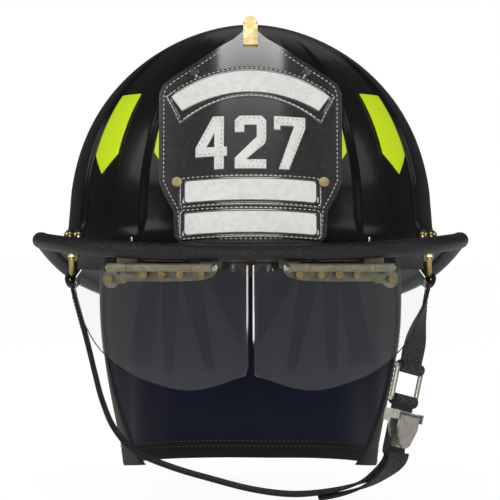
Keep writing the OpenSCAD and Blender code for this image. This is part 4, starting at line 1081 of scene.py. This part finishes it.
# ---- chinstrap ----
@dataclass
class Chinstrap:
    """Webbing of the chinstrap, woven and stitched."""

    width: float = 25
    thick: float = 2
    loop_w: float = 17
    ring: tuple[float, float] = (-65, -10.5)
    lean: float = 0.085
    slide: tuple[float, float] = (103.5, -95)
    slope: float = 0.21
    face: float = 38
    steps: int = 3
    loop_mid: float = 16.25
    loop_r: float = 5
    seat: float = 0.3
    slide_half: float = 11
    wrap_r: float = 3.9
    tuck: float = 1.2

    def foot(self) -> float:
        """Height of the foot of the sewn loops."""
        return self.ring[1] - self.loop_mid - self.loop_r - self.seat

    def wrap(self) -> float:
        """How far from the slide's middle a run ends, tucked into its wrap."""
        return self.slide_half + self.wrap_r - self.tuck

    def slide_line(self, d: float) -> Point:
        """A place on the line through the slide."""
        return (self.slide[0] + d * self.slope, self.slide[1] + d, self.face)

    def left_route(self) -> list[Point]:
        """Knots of the long run, from the wearer's right round the chin to the slide."""
        foot, wrap = self.foot(), self.wrap()
        knots = [(-119, foot + 8, 0), (-118, foot, 0), (-114, -46, 0), (-108, -68, 0),
                 (-103, -88, 0), (-98, -106, 0), (-90, -124, 0), (-76, -139, 0), (-53, -149, 0),
                 (-26, -157, 0), (2, -164, 0), (28, -167, 3), (52, -165, 9), (71, -160, 18),
                 (83.5, -153, 28)]
        return knots + [self.slide_line(d) for d in (-49, -40, -30, -22, -wrap, -wrap + 8)]

    def right_route(self) -> list[Point]:
        """Knots of the short run over the slide."""
        foot, wrap = self.foot(), self.wrap()
        knots = [(119, foot + 8, 0), (118, foot, 0), (115.5, -44, 10), (112, -56, 26)]
        return knots + [self.slide_line(d) for d in (28, wrap, wrap - 8)]

    def point(self, q: Point) -> Vector:
        """A knot's place in the frame."""
        return Vector((q[0], self.ring[0] + self.lean * (q[1] - self.ring[1]), q[1]))

    def run(self, route: Sequence[Point], n: int) -> list[Point]:
        """A smooth run through the knots, n steps between each two."""
        out = [catmull(route[i - 1], route[i], route[i + 1], route[i + 2], j / n)
               for i in range(1, len(route) - 2) for j in range(n)]
        return out + [route[-2]]

    def frame_at(self, run: Sequence[Point], i: int) -> tuple[Vector, Vector, Vector]:
        """Centre, side and face direction of the webbing at a step."""
        last = len(run) - 1
        along = (self.point(run[min(i + 1, last)]) - self.point(run[max(i - 1, 0)])).normalized()
        turn = math.radians(run[i][2])
        side = Vector((math.sin(turn) * (1 if run[i][0] > 0 else -1), math.cos(turn), 0))
        side = (side - side.dot(along) * along).normalized()
        return self.point(run[i]), side, along.cross(side).normalized()

    def webbing(self, name: str, route: Sequence[Point], span: tuple[float, float] | None,
                lift: float) -> bpy.types.Object:
        """A run of webbing with rounded selvedges.

        Args:
            name: the piece's name.
            route: its knots.
            span: first and last step to keep, or None for all.
            lift: distance behind the run.

        Returns:
            The webbing, closed at both ends.
        """
        n = 4 * self.steps
        run = self.run(route, n)
        first, last = 0, len(run) - 1
        if span is not None:
            first, last = round(span[0] * n), round(span[1] * n)
        half = self.thick / 2
        section = [(-1, 0), (-0.985, 0.55), (-0.93, 0.95), (-0.6, 1), (0, 1), (0.6, 1),
                   (0.93, 0.95), (0.985, 0.55), (1, 0), (0.985, -0.55), (0.93, -0.95), (0.6, -1),
                   (0, -1), (-0.6, -1), (-0.93, -0.95), (-0.985, -0.55), (-1, 0)]
        frames = {float(i): self.frame_at(run, i) for i in range(first, last + 1)}
        length = sum((frames[float(i + 1)][0] - frames[float(i)][0]).length
                     for i in range(first, last))

        def place(i: float, k: float) -> Vector:
            """A point of the webbing's skin."""
            c, side, face = frames[i]
            wide = mix(self.loop_w, self.width, smooth(i / (2 * n))) / 2
            u, v = section[int(k)]
            return c - face * lift + side * (u * wide) + face * (v * half)

        obj = lofted(name, place, sorted(frames), [float(k) for k in range(17)],
                     (length * MM, 2 * (self.width + self.thick) * MM))
        edit_all(obj, lambda: bpy.ops.mesh.select_all(action="DESELECT"),
                 lambda: bpy.ops.mesh.select_non_manifold(extend=False),
                 lambda: bpy.ops.mesh.fill_holes(sides=40),
                 lambda: bpy.ops.mesh.select_all(action="SELECT"),
                 lambda: bpy.ops.mesh.normals_make_consistent(inside=False))
        shade(obj, 40)
        return obj

    def rows(self, route: Sequence[Point], span: tuple[float, float],
             lift: float) -> list[list[tuple[Vector, Vector]]]:
        """Two rows of stitches near the selvedges of a stretch of webbing."""
        n = 4 * self.steps
        run = self.run(route, n)
        out = []
        for way in (-1, 1):
            for face_way in (-1, 1):
                line = []
                for i in range(round(span[0] * n), round(span[1] * n) + 1):
                    c, side, face = self.frame_at(run, i)
                    line.append((c + side * way * (self.width / 2 - 2.2)
                                 + face * (face_way * (self.thick / 2 + 0.05) - lift),
                                 face * face_way))
                out.append(line)
        return out

    def build(self) -> None:
        """Build the runs and their stitching."""
        left, right = self.left_route(), self.right_route()
        pieces = (("strap_long", left, None, 0.0, "strap_left"),
                  ("strap_short", right, None, 0.0, "strap_right"),
                  ("strap_end", left, (10.7, 14.5), self.thick + 1.5, "strap_tail"))
        for name, route, span, lift, node in pieces:
            obj = self.webbing(name, route, span, lift)
            hand_in(obj, "webbing_black", "chinstrap", [node])
        thread = Stitcher(pitch=2.6, length=1.9, radius=0.28).sew(
            "strap_stitches", self.rows(left, (0.4, 1.6), 0) + self.rows(right, (0.4, 1.6), 0)
            + self.rows(left, (16.6, 17.6), 0))
        hand_in(thread, "thread_black", "chinstrap")


# ---- lens panes and neck curtain ----
@dataclass
class Lenses:
    """Clear lens panes, drawn in to meet at the nose and given soft edges."""

    origin: tuple[float, float, float] = (5.575, -177.419, -17)
    chord: float = 25.42
    draw_in: float = 3.7
    soft: float = 0.35

    def build_pane(self, side: str, way: int) -> bpy.types.Object:
        """One pane.

        Args:
            side: left or right, as the wearer has it.
            way: 1 for the left, -1 for the right.

        Returns:
            The pane.
        """
        node = f"lens_{side}"
        obj = copy_node(node, f"lens_pane_{side}")
        a = math.radians(self.chord)
        along = Vector((way * math.cos(a), math.sin(a), 0))
        foot = Vector((way * self.origin[0], self.origin[1], self.origin[2]))
        for v in obj.data.vertices:
            out = (v.co / MM - foot).dot(along)
            v.co = v.co - along * (self.draw_in * smooth((13.5 - out) / 7.5) * MM)
        edit_all(obj, lambda: bpy.ops.mesh.dissolve_limited(angle_limit=0.01))
        apply(obj, "BEVEL", width=self.soft * MM, segments=2, limit_method="ANGLE", angle_limit=0.7)
        edit_all(obj, bpy.ops.mesh.quads_convert_to_tris)
        shade(obj, 12)
        return hand_in(obj, "lens_clear", f"lens_{side}_unit", [node])

    def build(self) -> None:
        """Build both panes."""
        self.build_pane("left", 1)
        self.build_pane("right", -1)


@dataclass
class NeckCurtain:
    """Flame-resistant curtain: outer cloth, navy lining and bound edges."""

    shell: Shell
    top: float = 20
    hem: float = -160
    fronts: tuple[float, float] = (-37, -38)
    low: tuple[float, float, float] = (88, 78, 113)
    fall: float = 170
    thick: float = 3
    belly: float = 8
    open_by: float = 21
    liner_gap: float = 7.35
    liner_t: float = 15
    across: float = 460.0
    tape: float = 11.0

    def top_r(self, turn: float) -> float:
        """Radius where the curtain hangs inside the liner."""
        knee = mix(4, 150, math.sin(math.radians(10)) ** (2 / 2.45))
        k = mix(self.shell.dome_k(4), self.shell.dome_k(knee), (self.top - 4) / (knee - 4))
        return self.shell.dome_r(turn) * k - self.liner_gap - self.liner_t - 0.6

    def radius(self, turn: float, z: float) -> float:
        """Outer radius of the curtain."""
        s = (self.top - z) / self.fall
        wide = mix(self.top_r(turn), oval(turn, *self.low, 2.7), 0.5 * smooth(s) + 0.5 * clamp(s))
        side = abs(math.cos(math.radians(turn))) ** 2
        return wide + self.belly * side * math.sin(math.pi * clamp(s)) ** 1.2

    def turn(self, s: float, z: float) -> float:
        """Direction of a share of the way round at a height."""
        share = clamp((self.top - z) / self.fall)
        f = mix(*self.fronts, share) + self.open_by * math.sin(math.pi * share) ** 0.8
        return mix(f, 180 - f, s)

    def hem_at(self, s: float) -> float:
        """Height of the hem."""
        return self.hem + 10 * abs(2 * s - 1) ** 2

    def fold(self, s: float, z: float) -> float:
        """How far soft folds move the cloth at a place."""
        loose = smooth((self.top - 30 - z) / 120)
        edge = smooth(s / 0.05) * smooth((1 - s) / 0.05)
        wave = (math.sin(s * 38) * 0.8 + math.sin(s * 61 + 1.3) * 0.5
                + math.sin(s * 17 + z * 0.02) * 0.7)
        return loose * edge * wave

    def at(self, s: float, z: float, depth: float) -> Vector:
        """A point of the cloth, a depth in from its outside."""
        t = self.turn(s, z)
        return spun(self.radius(t, z) - depth + self.fold(s, z), z, t)

    def cloth(self, name: str, depth: float,
              thick: float) -> tuple[bpy.types.Object, tuple[float, float]]:
        """One layer of cloth.

        Args:
            name: the piece's name.
            depth: distance of its outside face in from the curtain's outside.
            thick: its thickness.

        Returns:
            The layer, and the width and length it was cut to in metres.
        """
        cols = [i / 150 for i in range(151)]
        rows = [i / 40 for i in range(41)]

        def place(s: float, k: float) -> Vector:
            """A point of the layer."""
            return self.at(s, mix(self.top, self.hem_at(s), k), depth)

        wide = sum((place(cols[i + 1], 0.5) - place(cols[i], 0.5)).length for i in range(150)) * MM
        long = (place(0.5, 0) - place(0.5, 1)).length * MM
        obj = lofted(name, place, cols, rows, (wide, long))
        face = obj.data.polygons[len(obj.data.polygons) // 2]
        if face.normal.dot(face.center * Vector((1, 1, 0))) < 0:
            edit_all(obj, bpy.ops.mesh.flip_normals)
        apply(obj, "SOLIDIFY", thickness=thick * MM, offset=-1.0)
        shade(obj, 60)
        return obj, (wide, long)

    def edge_path(self) -> list[tuple[float, float]]:
        """The bound edge: down one front, along the hem and up the other."""
        path = [(0.0, mix(self.top, self.hem_at(0), i / 24)) for i in range(24)]
        path += [(i / 150, self.hem_at(i / 150)) for i in range(151)]
        return path + [(1.0, mix(self.hem_at(1), self.top, (i + 1) / 24)) for i in range(24)]

    def build_binding(self) -> bpy.types.Object:
        """Tape folded over the front edges and the hem."""
        path = self.edge_path()
        deep = self.tape
        section = [(0, 0), (0.15, 1), (0.5, 1.05), (1, 0.9), (1, -0.9), (0.5, -1.05),
                   (0.15, -1), (0, 0)]

        def place(i: float, k: float) -> Vector:
            """A point of the tape's skin."""
            s, z = path[int(i)]
            a, c = path[max(int(i) - 1, 0)], path[min(int(i) + 1, len(path) - 1)]
            inward, out = section[int(k)]
            wide = self.across
            along = Vector(((c[0] - a[0]) * wide, c[1] - a[1])).normalized()
            inner = Vector((-along.y, along.x))
            ds, dz = inner.x * inward * deep / wide, inner.y * inward * deep
            s2 = clamp(s + ds)
            depth = self.thick / 2 - out * (self.thick / 2 + 0.25)
            return self.at(s2, z + dz, depth)

        obj = lofted("curtain_binding", place, [float(i) for i in range(len(path))],
                     [float(k) for k in range(8)], (0.85, 0.026))
        edit_all(obj, lambda: bpy.ops.mesh.select_all(action="DESELECT"),
                 lambda: bpy.ops.mesh.select_non_manifold(extend=False),
                 lambda: bpy.ops.mesh.fill_holes(sides=30),
                 lambda: bpy.ops.mesh.select_all(action="SELECT"),
                 lambda: bpy.ops.mesh.normals_make_consistent(inside=False))
        shade(obj, 50)
        return hand_in(obj, "binding_olive", "helmet")

    def build(self) -> None:
        """Build the cloth layers, the binding and its stitches."""
        outer, cut = self.cloth("curtain_outer", 0.2, 1.0)
        lining, cut_in = self.cloth("curtain_lining", 1.7, 1.0)
        hand_in(outer, "curtain_shell", "helmet", ["neck_curtain"])
        hand_in(lining, "curtain_navy", "helmet")
        binding = self.build_binding()
        rows = []
        for depth, out in ((-0.35, 1), (self.thick + 0.35, -1)):
            for up in (8.8, 12.5):
                line = []
                for i in range(6, 145):
                    s = i / 150
                    q = self.at(s, self.hem_at(s) + up, depth)
                    way = Vector((q.x, q.y, 0)).normalized() * out
                    line.append((q, way))
                rows.append(line)
            for s in (0.021, 0.979):
                line = []
                for i in range(40):
                    q = self.at(s, mix(self.top - 4, self.hem_at(s) + 12, i / 39), depth)
                    line.append((q, Vector((q.x, q.y, 0)).normalized() * out))
                rows.append(line)
        thread = Stitcher(pitch=3.4, length=2.5, radius=0.3).sew("curtain_stitches", rows)
        hand_in(thread, "thread_olive", "helmet")


# ---- studio ----
@dataclass
class Studio:
    """Floor, soft lamps, white surroundings and the camera."""

    lens: float = 166
    distance: float = 1.6
    aside: float = -0.0003
    eye: float = -0.006
    fill: float = 0.42
    mirrored: float = 0.07

    def floor(self) -> None:
        """A plain white floor that keeps the object's shadow."""
        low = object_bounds()[0].z
        deselect()
        bpy.ops.mesh.primitive_plane_add(size=60, location=(0, 0, low - 0.0015))
        obj = bpy.context.object
        obj.name = "floor"
        material = bpy.data.materials.new("floor_white")
        material.use_nodes = True
        b = Bench(material.node_tree)
        path = b.add("ShaderNodeLightPath")
        matt = b.add("ShaderNodeBsdfDiffuse")
        matt.inputs[0].default_value = (0.85, 0.85, 0.85, 1)
        glow = b.add("ShaderNodeEmission")
        glow.inputs[1].default_value = 1.08
        both = b.add("ShaderNodeMixShader")
        seen = b.sum("MAXIMUM", path.outputs["Is Camera Ray"], path.outputs["Is Transmission Ray"])
        b.feed(both.inputs[0], b.sum("MULTIPLY", seen, 0.88))
        b.feed(both.inputs[1], matt.outputs[0])
        b.feed(both.inputs[2], glow.outputs[0])
        b.feed(b.add("ShaderNodeOutputMaterial").inputs["Surface"], both.outputs[0])
        obj.data.materials.append(material)
        obj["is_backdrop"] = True

    def surroundings(self) -> None:
        """White seen by the camera and through glass, a dim even light, and dimmer still in
        reflections.
        """
        world = bpy.data.worlds.new("studio")
        bpy.context.scene.world = world
        world.use_nodes = True
        b = Bench(world.node_tree)
        path = b.add("ShaderNodeLightPath")
        seen = b.sum("MAXIMUM", path.outputs["Is Camera Ray"], path.outputs["Is Transmission Ray"])
        dim, dark, white = (b.add("ShaderNodeBackground") for _ in range(3))
        for shade_of, strength in ((dim, self.fill), (dark, self.mirrored)):
            shade_of.inputs[0].default_value = (1, 1, 1, 1)
            shade_of.inputs[1].default_value = strength
        white.inputs[0].default_value = (1, 1, 1, 1)
        white.inputs[1].default_value = 1.0
        unseen, both = b.add("ShaderNodeMixShader"), b.add("ShaderNodeMixShader")
        b.feed(unseen.inputs[0], path.outputs["Is Glossy Ray"])
        b.feed(unseen.inputs[1], dim.outputs[0])
        b.feed(unseen.inputs[2], dark.outputs[0])
        b.feed(both.inputs[0], seen)
        b.feed(both.inputs[1], unseen.outputs[0])
        b.feed(both.inputs[2], white.outputs[0])
        b.feed(b.add("ShaderNodeOutputWorld").inputs[0], both.outputs[0])

    def lamp(self, name: str, place: Point, size: tuple[float, float], power: float) -> None:
        """A soft rectangular lamp aimed at the helmet."""
        data = bpy.data.lights.new(name, "AREA")
        data.shape = "RECTANGLE"
        data.size, data.size_y = size
        data.energy = power
        obj = bpy.data.objects.new(name, data)
        bpy.context.scene.collection.objects.link(obj)
        obj.location = place
        obj.rotation_euler = (Vector((0, 0, 0)) - Vector(place)).to_track_quat("-Z", "Y").to_euler()

    def camera(self) -> None:
        """A long lens, level with the brim."""
        data = bpy.data.cameras.new("camera")
        data.lens = self.lens
        obj = bpy.data.objects.new("camera", data)
        bpy.context.scene.collection.objects.link(obj)
        obj.location = (self.aside, -self.distance, self.eye)
        obj.rotation_euler = (math.pi / 2, 0, 0)
        bpy.context.scene.camera = obj

    def build(self) -> None:
        """Set the stage."""
        self.floor()
        self.surroundings()
        self.lamp("sheen", (0, -1.0, 1.24), (0.8, 0.34), 3.2)
        self.lamp("key", (-1.9, -0.55, 1.1), (1.0, 0.9), 10)
        self.lamp("fill", (1.9, -0.55, 1.0), (1.0, 0.9), 7)
        self.lamp("chin", (0, -1.9, -0.1), (0.9, 0.6), 11)
        self.lamp("back", (0.2, 1.4, 1.3), (1.0, 0.8), 0.8)
        self.camera()
        scene = bpy.context.scene
        scene.view_settings.view_transform = "Standard"


def dress_nodes() -> None:
    """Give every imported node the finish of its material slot."""
    slots = {s["node"]: s["material_slot"] for s in frame["record"]["subparts"]}
    instead = {"crown_straps": "strap_black", "strap_loops": "strap_black"}
    for name, obj in frame["nodes"].items():
        dress(obj, instead.get(name, slots[name]))
    LOG.info("%d packed nodes dressed", len(frame["nodes"]))


def main() -> None:
    """Build the classes in order."""
    logging.basicConfig(level=logging.INFO, format="%(message)s", stream=sys.stdout)
    EFFECTS.build()
    for finish in FINISHES:
        PAINTS[finish.name] = finish.build()
    PAINTS["lens_clear"] = LensFinish().build()
    dress_nodes()
    shell = Shell()
    parts = (shell, LeatherFront(), Suspension(), Lenses(), Chinstrap(), NeckCurtain(shell),
             Studio())
    for part in parts:
        part.build()
        LOG.info("built %s", type(part).__name__)
    deselect()


if __name__ == "__main__":
    main()
